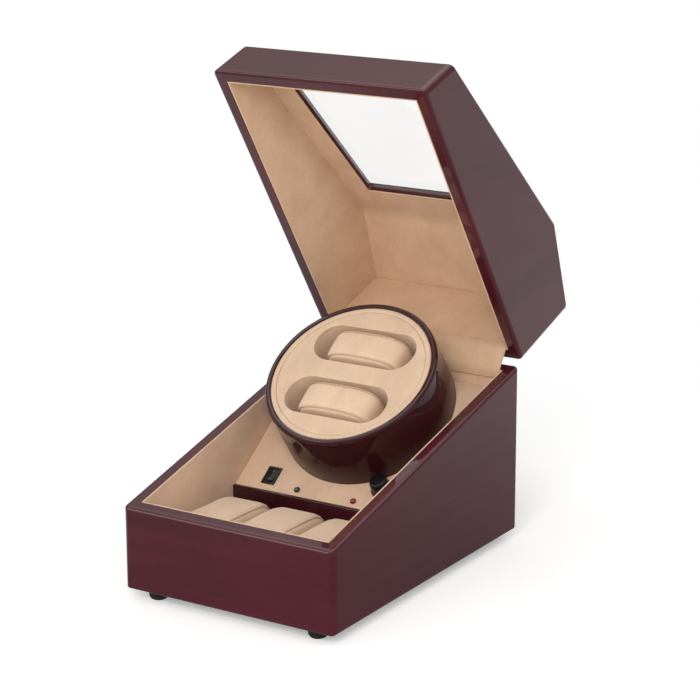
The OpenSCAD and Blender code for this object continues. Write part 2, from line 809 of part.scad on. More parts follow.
// Rocker's side outline, from its axle: y, z
rocker_outline = [
    [-2, -3], [2, -3], [5.7, 0.2], [5.75, 2.4], [5.4, 2.7], [2.6, 2.1],
    [0, 1.85], [-2.6, 2.1], [-5.4, 2.7], [-5.75, 2.4], [-5.7, 0.2]
];
module rocker_button() {
    color([0.09, 0.09, 0.09]) at_rocker()
        translate([0, 0, rocker_axle_z]) rotate([-rocker_tilt, 0, 0]) {
            along_x(-3.85, 3.85) polygon(rocker_outline);
            translate([-4.6, 0, 0]) rotate([0, 90, 0])
                cylinder(r = rocker_axle, h = 9.2, $fn = 32);
        }
}
// Domed lamp with a flange under the panel and two leads
module led(side) {
    at_panel() translate([side * led_x, led_y, 0]) {
        rotate_extrude($fn = 32) polygon(concat(
            [[0, -8.4], [led_radius, -8.4], [led_radius, led_dome_z]],
            [for (a = [15:15:90]) [led_radius * cos(a), led_dome_z + 2.2 * sin(a)]]));
        rod(2.9, -panel - 1.4, 1.3, $fn = 32);
        for (x = [-lead_offset, lead_offset]) block(x - 0.25, x + 0.25, -0.25, 0.25, -14, -9);
    }
}
module led_green() { color([0.05, 0.30, 0.12]) led(-1); }
module led_red() { color([0.55, 0.04, 0.08]) led(1); }
module mode_switch_body() {
    color([0.15, 0.15, 0.16]) at_knob() difference() {
        union() {
            block(-8, 8, -8, 8, -panel - 9, -panel - 0.05);
            rod(3.6, -panel - 0.1, panel + 1.2, $fn = 32);
            for (x = [-5, 0, 5]) block(x - 0.6, x + 0.6, -0.4, 0.4, -panel - 13, -panel - 8);
        }
        rod(knob_shaft + clearance, -panel - 6, 40, $fn = 32);
    }
}
// Knob's turned outline: radius, z
knob_outline = [
    [0, 2.4], [knob_radius - 0.4, 1.4], [knob_radius, 1.8], [knob_radius, 3.6],
    [knob_radius - 0.8, 4.2], [knob_radius - 1.6, 12.2], [knob_radius - 2.2, 13.2],
    [knob_radius - 3.2, 13.7], [0, 13.9]
];
module mode_switch_shaft_and_knob() {
    color(black) at_knob() difference() {
        union() {
            rod(knob_shaft, -panel - 5, panel + 10, $fn = 32);
            rotate_extrude() polygon(knob_outline);
        }
        // finger grooves round the knob and a pointer groove on its top
        for (a = [0:30:330]) rotate(a + 15) translate([knob_radius + 0.4, 0, 0])
            rod(1.2, 4.6, 20, $fn = 24);
        block(-0.4, 0.4, 1.5, knob_radius + 2, 13.1, 20);
    }
}
// Components under the board: x from, x to, y from, y to, depth below the panel
board_parts = [
    [-9, 9, -5, 3, 10.6],
    [14, 22, -4, 6, 14.6],
    [-24, -16, -4, 6, 12.6]
];
module control_board() {
    color([0.05, 0.35, 0.18]) at_panel() difference() {
        union() {
            block(-34, 34, board_y - 11, board_y + 11, board_top - 1.6, board_top);
            at_board_posts() rod(2.4, board_top - 0.1, 6.15, $fn = 32);
            at_board_posts() rod(1, board_top - 0.1, 9.8, $fn = 32);
            for (p = board_parts)
                block(p[0], p[1], board_y + p[2], board_y + p[3], -panel - p[4], board_top - 1.5);
        }
        // holes for the lamps' leads
        for (side = [-1, 1], k = [-1, 1]) let (x = side * led_x + k * lead_offset)
            block(x - 0.5, x + 0.5, led_y - 0.5, led_y + 0.5, -40, 0);
    }
}
module power_jack() {
    color(black) at_jack() difference() {
        union() {
            rod(6, half_depth + 0.02, 1.6, $fn = 48);
            rod(4, half_depth - 15, 16, $fn = 48);
            block(-5, 5, -5, 5, half_depth - 27, half_depth - 14.9);
        }
        rod(1.8, half_depth - 14.4, 30, $fn = 48);
    }
}
module power_jack_nut() {
    color(steel) at_jack() difference() {
        rod(6.3, inner_y - 2.6, 2.55, $fn = 6);
        rod(4.03, inner_y - 10, 20, $fn = 48);
    }
}

// ---------- storage cushions ----------
cushion_y = (-lined_y + divider_front) / 2 - 3;
module storage_cushion(place) {
    color(suede)
        translate([place * cushion_pitch - cushion_width / 2, cushion_y,
            floor_top + pad + 0.05 + cushion_height / 2]) rotate([90, 0, 90])
                linear_extrude(cushion_width) oval(cushion_length, cushion_height, 0.5);
}
module storage_cushion_left() { storage_cushion(-1); }
module storage_cushion_middle() { storage_cushion(0); }
module storage_cushion_right() { storage_cushion(1); }

base_case();
bottom_panel();
access_cover();
access_cover_screws();
rubber_feet();
foot_screws();
base_lining_left();
base_lining_right();
base_lining_front();
base_lining_rear();
tray_floor_pad();
tray_divider();
inclined_panel();
panel_battens();
lid_shell();
window_pane();
window_bead();
lid_lining_left();
lid_lining_right();
lid_lining_front();
lid_lining_roof();
lid_lining_rear();
hinge_leaves_base();
hinge_leaves_lid();
hinge_pins();
hinge_screws_base();
hinge_screws_lid();
hinge_cover_strip();
drum_housing();
housing_floor();
housing_screws();
spindle_bush();
drum_cup();
drum_insert();
drum_face_ring();
drum_face_disc();
drum_spindle();
spindle_clip();
drum_gear();
drum_cushion_upper();
drum_cushion_lower();
motor_plate();
plate_standoffs();
drive_screws();
gear_motor();
motor_shaft();
motor_pinion();
control_board();
rocker_switch_body();
rocker_button();
led_green();
led_red();
mode_switch_body();
mode_switch_shaft_and_knob();
power_jack();
power_jack_nut();
storage_cushion_left();
storage_cushion_middle();
storage_cushion_right();
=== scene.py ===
"""A lacquered wooden box with a tilted drum, a cushioned tray and a windowed lid standing open.

X runs across the box with the left side at -X, the front faces -Y and Z is up. The box is
centred on X and Y. Lengths are in millimetres and become metres when a mesh is made.
Lid parts are drawn in the closed position and turned open about the hinge by LID_FRAME.
"""
import json
import math

import bmesh
import bpy
import numpy as np
from mathutils import Matrix, Quaternion, Vector

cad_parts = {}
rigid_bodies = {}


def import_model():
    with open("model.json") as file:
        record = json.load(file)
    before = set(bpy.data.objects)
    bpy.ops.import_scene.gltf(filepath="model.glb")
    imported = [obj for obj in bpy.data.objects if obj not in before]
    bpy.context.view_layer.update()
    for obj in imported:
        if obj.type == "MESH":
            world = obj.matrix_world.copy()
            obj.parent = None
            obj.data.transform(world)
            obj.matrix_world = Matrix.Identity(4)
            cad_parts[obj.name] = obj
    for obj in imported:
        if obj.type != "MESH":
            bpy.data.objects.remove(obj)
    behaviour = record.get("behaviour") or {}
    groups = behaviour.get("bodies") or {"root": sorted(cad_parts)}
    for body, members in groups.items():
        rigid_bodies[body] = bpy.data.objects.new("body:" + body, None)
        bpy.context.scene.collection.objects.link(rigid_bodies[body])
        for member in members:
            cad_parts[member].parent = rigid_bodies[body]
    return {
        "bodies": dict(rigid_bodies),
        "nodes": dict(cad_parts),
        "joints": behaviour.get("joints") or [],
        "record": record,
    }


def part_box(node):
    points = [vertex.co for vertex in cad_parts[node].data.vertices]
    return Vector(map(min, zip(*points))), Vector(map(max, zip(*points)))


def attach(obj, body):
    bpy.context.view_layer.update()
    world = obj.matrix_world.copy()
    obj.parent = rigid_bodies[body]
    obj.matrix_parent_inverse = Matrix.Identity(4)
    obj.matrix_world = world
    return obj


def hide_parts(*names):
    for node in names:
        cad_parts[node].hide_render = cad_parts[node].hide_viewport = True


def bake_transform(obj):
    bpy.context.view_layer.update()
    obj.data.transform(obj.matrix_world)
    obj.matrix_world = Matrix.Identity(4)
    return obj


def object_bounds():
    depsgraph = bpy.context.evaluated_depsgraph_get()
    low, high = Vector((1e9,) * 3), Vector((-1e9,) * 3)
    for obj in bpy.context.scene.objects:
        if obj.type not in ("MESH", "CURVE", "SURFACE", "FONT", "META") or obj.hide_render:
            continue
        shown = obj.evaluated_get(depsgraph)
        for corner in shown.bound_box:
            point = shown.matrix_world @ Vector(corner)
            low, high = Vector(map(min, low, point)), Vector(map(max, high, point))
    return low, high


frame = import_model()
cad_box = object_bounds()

MM = 0.001
scene = bpy.context.scene
JOINTS = {joint["name"]: joint for joint in frame["joints"]}


def box_mm(node):
    low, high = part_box(node)
    return low / MM, high / MM


def joint_mm(name):
    return [c / MM for c in JOINTS[name]["pos_m"]]


# ---------------------------------------------------------------- dimensions
HALF_W, HALF_D, REAR_H = box_mm("base_case")[1]
FRONT_H = 64.0
WALL = 9.8
LINING = 1.5                                     # suede board thickness in the base
CORNER_ROUND = 5.5                               # upright corners of case and lid
EDGE_ROUND = 3.2                                 # long outer edges of case and lid
IN_X, IN_Y = HALF_W - WALL, HALF_D - WALL        # inside of the wooden walls
LIN_X, LIN_Y = IN_X - LINING, IN_Y - LINING      # inside of the base linings
FLOOR_PAD_Z = 6.0
FIT = 0.05                                       # small clearance between touching parts
RIM_DROP = 0.4                                   # base linings stop this far below the rim

_, HINGE_Y, HINGE_Z = joint_mm("lid_hinge")
HINGE = Vector((0, HINGE_Y, HINGE_Z))
LID_OPEN = math.radians(JOINTS["lid_hinge"]["range_deg"][1])
LID_T = 10.0
LID_LINING = 1.2
LID_GAP = 0.4                                    # closed lid above the case rim
LID_LINING_UP = 0.3                              # lid linings sit back from the lid rim
LID_FRONT_Z = FRONT_H + 43.8                     # foot of the slope
LID_TOP_Z = REAR_H + 80.8
LID_TOP_Y = HALF_D - 79.0                        # where the slope meets the flat top
SLOPE = math.atan2(LID_TOP_Z - LID_FRONT_Z, LID_TOP_Y + HALF_D)
SLOPE_COS, SLOPE_SIN = math.cos(SLOPE), math.sin(SLOPE)
WINDOW_HALF_W, WINDOW_START, WINDOW_LEN = 60.2, 34.0, 149.0   # start and length up the slope

_, DRUM_Y, DRUM_Z = joint_mm("drum_spin")
_, AXIS_Y, AXIS_Z = JOINTS["drum_spin"]["axis"]
TILT = math.atan2(-AXIS_Y, AXIS_Z)
HOUSING_H, HOUSING_R = 49.8, 69.5
PANEL_T = 8.0
LEDGE_Z = 116.5                                  # flat ledge behind the inclined panel

# frames: local axes of each assembly
IDENTITY = Matrix.Identity(4)


def shift(x, y, z):
    return Matrix.Translation((x, y, z))


def turn_x(angle):
    return Matrix.Rotation(angle, 4, "X")


DRUM_FRAME = shift(0, DRUM_Y, DRUM_Z) @ turn_x(TILT)
PANEL_FRAME = DRUM_FRAME @ shift(0, 0, -HOUSING_H)
LID_FRAME = Matrix.Translation(HINGE) @ turn_x(-LID_OPEN) @ Matrix.Translation(-HINGE)
SLOPE_FRAME = LID_FRAME @ shift(0, -HALF_D, LID_FRONT_Z) @ turn_x(SLOPE)
PANEL_Y, PANEL_Z = PANEL_FRAME.translation.y, PANEL_FRAME.translation.z


def rim_z(y):
    """Height of the case rim, which climbs evenly from front to rear."""
    return FRONT_H + (y + HALF_D) * (REAR_H - FRONT_H) / (2 * HALF_D)


def panel_z(y):
    return PANEL_Z + (y - PANEL_Y) * math.tan(TILT)


def lid_outline(inset, up):
    """(y, z) of the closed lid: front foot, slope foot, slope top, rear top, rear foot."""
    front_y, rear_y = -HALF_D + inset, HALF_D - inset
    front_z = LID_FRONT_Z + inset * math.tan(SLOPE) - inset / math.cos(SLOPE)
    top_z = LID_TOP_Z - inset
    top_y = -HALF_D + (top_z + inset / math.cos(SLOPE) - LID_FRONT_Z) / math.tan(SLOPE)
    return [(front_y, rim_z(front_y) + LID_GAP + up), (front_y, front_z), (top_y, top_z),
            (rear_y, top_z), (rear_y, rim_z(rear_y) + LID_GAP + up)]


# ---------------------------------------------------------------- node graphs
def rgba(color):
    """Three channels, or one grey level, with full alpha."""
    if isinstance(color, (int, float)):
        color = (color,) * 3
    return (*color, 1)


def scaled(color, factor):
    return tuple(c * factor for c in color)


class Graph:
    """A short way to write a node tree. Inputs take either a value or an output socket."""

    def __init__(self, tree):
        self.tree = tree
        tree.nodes.clear()

    def put(self, node, key, value):
        socket = node.inputs[key]
        if isinstance(value, bpy.types.NodeSocket):
            self.tree.links.new(value, socket)
        else:
            socket.default_value = rgba(value) if socket.type == "RGBA" else value

    def node(self, kind, inputs=None, **props):
        node = self.tree.nodes.new("ShaderNode" + kind)
        for key, value in props.items():
            setattr(node, key, value)
        for key, value in (inputs or {}).items():
            self.put(node, key, value)
        return node

    def math(self, operation, a, b):
        return self.node("Math", {0: a, 1: b}, operation=operation).outputs[0]

    def fade(self, value, source, target):
        """A smooth step that carries the source range onto the target range."""
        return self.node("MapRange", {
            "Value": value, "From Min": source[0], "From Max": source[1],
            "To Min": target[0], "To Max": target[1]}, interpolation_type="SMOOTHSTEP").outputs[0]

    def dot(self, vector, direction):
        node = self.node("VectorMath", {0: vector, 1: direction}, operation="DOT_PRODUCT")
        return node.outputs["Value"]

    def seen_directly(self, path):
        return self.math("MAXIMUM", path.outputs["Is Camera Ray"],
                         path.outputs["Is Transmission Ray"])


class Material(Graph):
    """A new material with one Principled surface, textured in object coordinates."""

    def __init__(self, name):
        self.material = bpy.data.materials.new(name)
        self.material.use_nodes = True
        super().__init__(self.material.node_tree)
        self.output = self.node("OutputMaterial")
        self.bsdf = self.node("BsdfPrincipled")
        self.put(self.output, 0, self.bsdf.outputs[0])
        self.coords = self.node("TexCoord").outputs["Object"]

    def surface(self, **inputs):
        for key, value in inputs.items():
            self.put(self.bsdf, key.replace("_", " ").title().replace("Ior", "IOR"), value)
        return self.material

    def mapped(self, scale=(1, 1, 1), turn=(0, 0, 0), offset=(0, 0, 0), source=None):
        return self.node("Mapping", {"Vector": source or self.coords, "Scale": scale,
                                     "Rotation": turn, "Location": offset}).outputs[0]

    def noise(self, vector, scale, detail=3.0, rough=0.5, distortion=0.0):
        return self.node("TexNoise", {
            "Vector": vector, "Scale": scale, "Detail": detail, "Roughness": rough,
            "Distortion": distortion}).outputs["Fac"]

    def ramp(self, fac, stops):
        """Stops are (position, colour or grey level)."""
        node = self.node("ValToRGB", {0: fac})
        elements = node.color_ramp.elements
        while len(elements) < len(stops):
            elements.new(0.5)
        for element, (position, color) in zip(elements, stops):
            element.position = position
            element.color = rgba(color)
        return node.outputs[0]

    def mix(self, a, b, fac):
        return self.node("Mix", {0: fac, 6: a, 7: b}, data_type="RGBA").outputs[2]

    def bump(self, height, strength, distance, normal=None):
        inputs = {"Height": height, "Strength": strength, "Distance": distance}
        if normal is not None:
            inputs["Normal"] = normal
        return self.node("Bump", inputs).outputs[0]

    def emission(self, strength):
        return self.node("Emission", {"Strength": strength}).outputs[0]

    def mix_shader(self, fac, a, b):
        return self.node("MixShader", {0: fac, 1: a, 2: b}).outputs[0]


# ---------------------------------------------------------------- materials
def painted_drum_gleam(mat):
    """Coat weight that is full at the drum's lip and falls away down its wall: painted light, a
    brighter highlight on the lip and dimmer reflections of the panel lower down.
    """
    axis = DRUM_FRAME.col[2].to_3d()
    lip = (DRUM_FRAME.translation * MM).dot(axis)
    return mat.fade(mat.dot(mat.coords, axis),
                    source=(lip - 0.022, lip - 0.003), target=(0.34, 1.0))


def lacquer(name, seed, lift=1.0, grain=1.0, painted_gleam_coat=False):
    """Burgundy veneer under a thick polished clear coat; lift scales its brightness."""
    mat = Material(name)
    veneer = mat.mapped(offset=(seed, seed * 0.7, seed * 0.3))
    broad = mat.noise(mat.mapped(scale=(4, 4, 12), source=veneer),
                      scale=1.4, detail=2.0, distortion=0.5)
    streak = mat.noise(mat.mapped(scale=(6, 6, 150), source=veneer),
                       scale=1.5, detail=5.0, rough=0.62, distortion=0.35)
    pores = mat.noise(mat.mapped(scale=(40, 40, 900), source=veneer),
                      scale=2.0, detail=2.0, rough=0.6)
    figure = mat.node("TexWave", {
        "Vector": mat.mapped(scale=(1.2, 1.2, 9), source=veneer), "Scale": 2.2,
        "Distortion": 9.0, "Detail": 2.5, "Detail Scale": 1.2}, bands_direction="Z")
    dark = scaled((0.042, 0.0062, 0.0112), lift)
    middle = scaled((0.063, 0.0086, 0.0150), lift)
    red = scaled((0.087, 0.0118, 0.0190), lift)
    color = mat.mix(mat.ramp(broad, [(0.25, dark), (0.52, middle), (0.80, red)]),
                    mat.ramp(streak, [(0.30, dark), (0.70, red)]), fac=0.30 * grain)
    color = mat.mix(color, mat.ramp(figure.outputs["Fac"], [(0.0, middle), (1.0, red)]),
                    fac=0.22 * grain)
    pore_mask = mat.ramp(pores, [(0.36, 1), (0.46, 0)])
    color = mat.mix(color, dark, fac=mat.math("MULTIPLY", pore_mask, 0.35 * grain))
    ripple = mat.noise(mat.coords, scale=22.0, detail=1.0, rough=0.4)
    fine = mat.noise(mat.coords, scale=160.0, detail=1.0, rough=0.4)
    cloudy = mat.noise(mat.coords, scale=30.0, detail=2.0)
    waviness = mat.bump(ripple, strength=0.07, distance=0.004)
    return mat.surface(
        base_color=color, roughness=0.42, ior=1.45, specular_ior_level=0.06,
        # on the drum the coat weight fades as painted light: a bright lip highlight, dimmer panel
        # reflections below
        coat_weight=painted_drum_gleam(mat) if painted_gleam_coat else 1.0, coat_ior=1.46,
        coat_roughness=mat.math("MULTIPLY", cloudy, 0.09),
        coat_normal=mat.bump(fine, strength=0.04, distance=0.0006, normal=waviness),
        normal=mat.bump(streak, strength=0.06, distance=0.0003))


def suede(name, light, shade, seed, nap=1.0):
    """Short brushed nap: patches lying one way or the other, and a fine fibre bump."""
    mat = Material(name)
    cloth = mat.mapped(offset=(seed, seed, seed))
    patch = mat.noise(cloth, scale=22.0, rough=0.55, distortion=0.8)
    brush = mat.noise(mat.mapped(scale=(1.0, 0.35, 0.6), turn=(0.3, 0.2, 0.5), source=cloth),
                      scale=95.0, detail=2.0, rough=0.55, distortion=0.4)
    speck = mat.noise(cloth, scale=1900.0, detail=2.0, rough=0.7)
    fibre = mat.noise(mat.mapped(scale=(1, 1.7, 1), source=cloth),
                      scale=3300.0, detail=2.0, rough=0.6)
    lie = mat.math("ADD", mat.math("MULTIPLY", patch, 0.62), mat.math("MULTIPLY", brush, 0.38))
    color = mat.ramp(lie, [(0.34, shade), (0.64, light)])
    speck_mask = mat.ramp(speck, [(0.30, 1), (0.50, 0)])
    color = mat.mix(color, scaled(shade, 0.62), fac=mat.math("MULTIPLY", speck_mask, 0.5))
    height = mat.math("ADD", mat.math("MULTIPLY", fibre, 0.5), mat.math("MULTIPLY", speck, 0.5))
    soft = mat.bump(brush, strength=0.10 * nap, distance=0.0010)
    return mat.surface(
        base_color=color, roughness=0.96, specular_ior_level=0.12,
        sheen_weight=0.35, sheen_roughness=0.45, sheen_tint=(1.0, 0.90, 0.78),
        normal=mat.bump(height, strength=0.55 * nap, distance=0.00022, normal=soft))


def plastic(name, color, rough, grain, coat=0.0, specular=0.5):
    mat = Material(name)
    cells = mat.node("TexVoronoi", {"Vector": mat.coords, "Scale": 2400.0}).outputs["Distance"]
    wear = mat.noise(mat.coords, scale=60.0)
    bright = tuple(min(1, c * 1.2 + 0.002) for c in color)
    return mat.surface(
        base_color=mat.ramp(wear, [(0.3, scaled(color, 0.8)), (0.7, bright)]),
        roughness=mat.ramp(wear, [(0.3, rough * 0.85), (0.7, min(1, rough * 1.15))]),
        coat_weight=coat, coat_roughness=0.08, specular_ior_level=specular,
        normal=mat.bump(cells, strength=grain, distance=0.00008))


def metal(name, color, rough, stretch=(1, 1, 1)):
    """Plated metal; stretch draws its fine marks out along an axis."""
    mat = Material(name)
    brushing = mat.noise(mat.mapped(scale=stretch), scale=700.0, rough=0.6)
    wear = mat.noise(mat.coords, scale=40.0)
    return mat.surface(
        base_color=mat.ramp(wear, [(0.3, scaled(color, 0.82)), (0.7, color)]), metallic=1.0,
        roughness=mat.math("ADD", mat.math("MULTIPLY", brushing, 0.22), rough - 0.1),
        normal=mat.bump(brushing, strength=0.25, distance=0.00005))


def glass(name):
    mat = Material(name)
    smudge = mat.noise(mat.coords, scale=18.0, rough=0.6)
    return mat.surface(base_color=(0.996, 1.0, 0.998), transmission_weight=1.0, ior=1.24,
                       roughness=mat.ramp(smudge, [(0.45, 0.0), (0.9, 0.02)]))


def lens(name, color, glow):
    mat = Material(name)
    mottle = mat.noise(mat.coords, scale=900.0, detail=2.0)
    return mat.surface(
        base_color=mat.ramp(mottle, [(0.3, scaled(color, 0.6)), (0.7, color)]),
        roughness=0.12, coat_weight=1.0, coat_roughness=0.02,
        transmission_weight=0.25, ior=1.5, emission_color=color, emission_strength=glow)


def board(name, dark, light):
    mat = Material(name)
    grain = mat.noise(mat.mapped(scale=(9, 140, 140)),
                      scale=2.0, detail=5.0, rough=0.6, distortion=0.4)
    return mat.surface(base_color=mat.ramp(grain, [(0.3, dark), (0.7, light)]), roughness=0.7,
                       normal=mat.bump(grain, strength=0.3, distance=0.0003))


def circuit_board(name):
    mat = Material(name)
    tracks = mat.node("TexBrick", {"Vector": mat.mapped(turn=(TILT, 0, 0.4)),
                                   "Scale": 240.0, "Mortar Size": 0.05}).outputs["Fac"]
    return mat.surface(
        base_color=mat.mix((0.02, 0.16, 0.07), (0.05, 0.30, 0.12), fac=tracks),
        roughness=0.35, coat_weight=0.6,
        normal=mat.bump(tracks, strength=0.2, distance=0.0001))


def floor_sweep(name):
    """White sweep: it fades to plain white away from the box and reflects dimly."""
    mat = Material(name)
    tone = mat.noise(mat.coords, scale=3.0, detail=2.0)
    mat.surface(base_color=mat.ramp(tone, [(0.3, 0.90), (0.7, 0.92)]),
                roughness=0.9, specular_ior_level=0.05)
    plain = mat.bsdf.outputs[0]

    # brightness of the floor in reflections: more behind, in front and beside the left wall
    x, y = mat.node("SeparateXYZ", {0: mat.coords}).outputs[:2]
    along = mat.math("ADD", mat.math("MULTIPLY", x, 0.53), mat.math("MULTIPLY", y, 0.85))
    far = mat.fade(along, source=(-0.02, 0.75), target=(0.23, 0.64))
    front = mat.fade(along, source=(-0.45, -0.05), target=(0.16, 0.0))
    left = mat.math("MULTIPLY", mat.fade(x, source=(-0.25, -0.13), target=(0.42, 0.0)),
                    mat.fade(y, source=(-0.22, -0.14), target=(0.0, 1.0)))
    reflected = mat.emission(mat.math("ADD", mat.math("ADD", far, front), left))

    # what is seen directly: a lifted floor near the box, plain white beyond
    white = mat.emission(1.0)
    lifted = mat.node("AddShader", {0: plain, 1: mat.emission(0.30)}).outputs[0]
    distance = mat.node("VectorMath", {0: mat.coords}, operation="LENGTH").outputs["Value"]
    fade = mat.fade(distance, source=(0.22, 0.65), target=(0.0, 1.0))
    seen = mat.mix_shader(fade, lifted, white)

    path = mat.node("LightPath")
    other = mat.mix_shader(path.outputs["Is Glossy Ray"], plain, reflected)
    mat.put(mat.output, 0, mat.mix_shader(mat.seen_directly(path), other, seen))
    return mat.material


LACQUER_BASE = lacquer("lacquer_base", seed=0.0)
LACQUER_LID = lacquer("lacquer_lid", seed=0.37, lift=0.92, grain=0.45)
# the drum and trim copies at lift 0.55 are painted shade: the case lacquer darkened where the
# drum and the tray divider sit in shade
LACQUER_DRUM = lacquer("lacquer_drum", seed=0.81, lift=0.55, grain=0.5, painted_gleam_coat=True)
LACQUER_TRIM = lacquer("lacquer_trim", seed=0.55, lift=0.55)
SUEDE_BASE = suede("suede_base", light=(0.75, 0.535, 0.385), shade=(0.655, 0.450, 0.315),
                   seed=0.0)
SUEDE_LID = suede("suede_lid", light=(0.705, 0.492, 0.330), shade=(0.610, 0.405, 0.262),
                  seed=1.3)
SUEDE_DISC = suede("suede_disc", light=(0.725, 0.545, 0.395), shade=(0.640, 0.465, 0.330),
                   seed=2.1, nap=0.8)
SUEDE_CUSHION = suede("suede_cushion", light=(0.76, 0.570, 0.415),
                      shade=(0.675, 0.485, 0.345), seed=3.4)
SUEDE_SEAM = suede("suede_seam", light=(0.60, 0.44, 0.31), shade=(0.50, 0.355, 0.245), seed=4.4)
BLACK = plastic("black_plastic", (0.005, 0.005, 0.0055), rough=0.36, grain=0.2, coat=0.1,
                specular=0.22)
BLACK_MATTE = plastic("black_moulding", (0.02, 0.02, 0.021), rough=0.55, grain=0.5)
RUBBER = plastic("rubber_black", (0.014, 0.014, 0.014), rough=0.62, grain=0.6)
STEEL = metal("steel_zinc", (0.70, 0.70, 0.72), rough=0.30)
STEEL_BRUSHED = metal("steel_brushed", (0.62, 0.62, 0.64), rough=0.34, stretch=(1, 12, 12))
BRASS = metal("brass_plated", (0.78, 0.58, 0.27), rough=0.26, stretch=(1, 8, 8))
GLASS = glass("clear_glass")
NYLON = plastic("gear_nylon", (0.80, 0.78, 0.70), rough=0.45, grain=0.2)
PCB = circuit_board("circuit_board")
GREEN = lens("green_lens", (0.005, 0.040, 0.016), glow=0.01)
RED = lens("red_lens", (0.26, 0.003, 0.012), glow=0.08)
BOARD = board("painted_board", dark=(0.010, 0.008, 0.007), light=(0.035, 0.026, 0.022))
BATTEN = board("bare_batten", dark=(0.30, 0.19, 0.10), light=(0.52, 0.36, 0.21))
MARK = plastic("printed_mark", (0.10, 0.16, 0.12), rough=0.6, grain=0.1)


# ---------------------------------------------------------------- mesh tools
def new_object(name, data):
    part = bpy.data.objects.new(name, data)
    scene.collection.objects.link(part)
    return part


def mount(part, body, node=None):
    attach(part, body)
    if node:
        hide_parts(node)


def add_bevel(part, width, segments, limit):
    bevel = part.modifiers.new("rounding", "BEVEL")
    bevel.width = width * MM
    bevel.limit_method = limit
    bevel.segments = segments
    bevel.harden_normals = True
    bevel.loop_slide = False
    return bevel


def round_by_angle(part, width, segments, angle):
    add_bevel(part, width, segments, "ANGLE").angle_limit = math.radians(angle)
    return part


def piece(name, verts, faces, mat, frame=IDENTITY, roundings=None, segments=4):
    """A closed mesh. roundings = {(i, j): rounding radius} for chosen edges."""
    mesh = bpy.data.meshes.new(name)
    work = bmesh.new()
    made = [work.verts.new((frame @ Vector(v)) * MM) for v in verts]
    for face in faces:
        work.faces.new([made[i] for i in face])
    bmesh.ops.recalc_face_normals(work, faces=work.faces[:])
    if roundings:
        largest = max(roundings.values())
        layer = work.edges.layers.float.new("bevel_weight_edge")
        for (i, j), radius in roundings.items():
            work.edges.get((made[i], made[j]))[layer] = radius / largest
    for face in work.faces:
        face.smooth = True
    work.to_mesh(mesh)
    work.free()
    mesh.materials.append(mat)
    part = new_object(name, mesh)
    if roundings:
        add_bevel(part, largest, segments, "WEIGHT").use_clamp_overlap = True
    return part


def evaluated_mesh(part):
    depsgraph = bpy.context.evaluated_depsgraph_get()
    return bpy.data.meshes.new_from_object(part.evaluated_get(depsgraph))


def settle(part):
    """Applies the modifiers to the mesh."""
    mesh = evaluated_mesh(part)
    part.modifiers.clear()
    part.data = mesh


def use_only(mesh, mat):
    mesh.materials.clear()
    mesh.materials.append(mat)
    for face in mesh.polygons:
        face.material_index = 0


def shade_smooth(mesh):
    for face in mesh.polygons:
        face.use_smooth = True


def in_metres(frame):
    result = frame.copy()
    result.translation = result.translation * MM
    return result


def index_rings(size, count):
    return [range(k * size, (k + 1) * size) for k in range(count)]


def band(ring_a, ring_b):
    """Quads all the way round between two closed rings of indices."""
    n = len(ring_a)
    return [(ring_a[i], ring_a[(i + 1) % n], ring_b[(i + 1) % n], ring_b[i]) for i in range(n)]


def across(left, right, i, j):
    """A quad from a left outline to a right one, between their points i and j."""
    return left[i], right[i], right[j], left[j]


def prism(name, outline, x0, x1, mat, frame, rounding, segments=3):
    """A (y, z) outline extruded along X, with its sharp edges rounded."""
    verts = [(x, y, z) for x in (x0, x1) for y, z in outline]
    start, end = index_rings(len(outline), 2)
    part = piece(name, verts, [start, end] + band(start, end), mat, frame)
    return round_by_angle(part, rounding, segments, 20)


def ring_loft(name, stations, mat, frame, segments):
    """Four-cornered loops joined one to the next and back to the first.

    A station is (loop, rounding along the loop, rounding of the edges to the next loop).
    """
    verts = [point for loop, _, _ in stations for point in loop]
    loops = index_rings(4, len(stations))
    faces, roundings = [], {}
    for k, (_, along, onward) in enumerate(stations):
        loop, following = loops[k], loops[(k + 1) % len(loops)]
        faces += band(loop, following)
        for c in range(4):
            if along:
                roundings[(loop[c], loop[(c + 1) % 4])] = along
            if onward:
                roundings[(loop[c], following[c])] = onward
    return piece(name, verts, faces, mat, frame, roundings, segments)


def double_grid(name, verts, rows, columns, mat):
    """Two grids of points, lower then upper, closed into a sheet with thickness."""
    def at(upper, row, column):
        return (upper * rows + row) * columns + column

    faces = []
    for r in range(rows - 1):
        for c in range(columns - 1):
            faces.append((at(1, r, c), at(1, r, c + 1), at(1, r + 1, c + 1), at(1, r + 1, c)))
            faces.append((at(0, r, c), at(0, r + 1, c), at(0, r + 1, c + 1), at(0, r, c + 1)))
    end = rows - 1
    for c in range(columns - 1):
        faces.append((at(0, 0, c), at(0, 0, c + 1), at(1, 0, c + 1), at(1, 0, c)))
        faces.append((at(0, end, c), at(1, end, c), at(1, end, c + 1), at(0, end, c + 1)))
    end = columns - 1
    for r in range(rows - 1):
        faces.append((at(0, r, 0), at(1, r, 0), at(1, r + 1, 0), at(0, r + 1, 0)))
        faces.append((at(0, r, end), at(0, r + 1, end), at(1, r + 1, end), at(1, r, end)))
    return piece(name, verts, faces, mat)


def lathe(name, profile, mat, frame, steps=192):
    """A closed (r, z) outline turned about the local Z axis."""
    size = len(profile)
    verts, faces = [], []
    for i in range(steps):
        angle = 2 * math.pi * i / steps
        verts += [(r * math.cos(angle), r * math.sin(angle), z) for r, z in profile]
    for i in range(steps):
        here, after = i * size, (i + 1) % steps * size
        for p in range(size):
            q = (p + 1) % size
            faces.append((here + p, after + p, after + q, here + q))
    return piece(name, verts, faces, mat, frame)


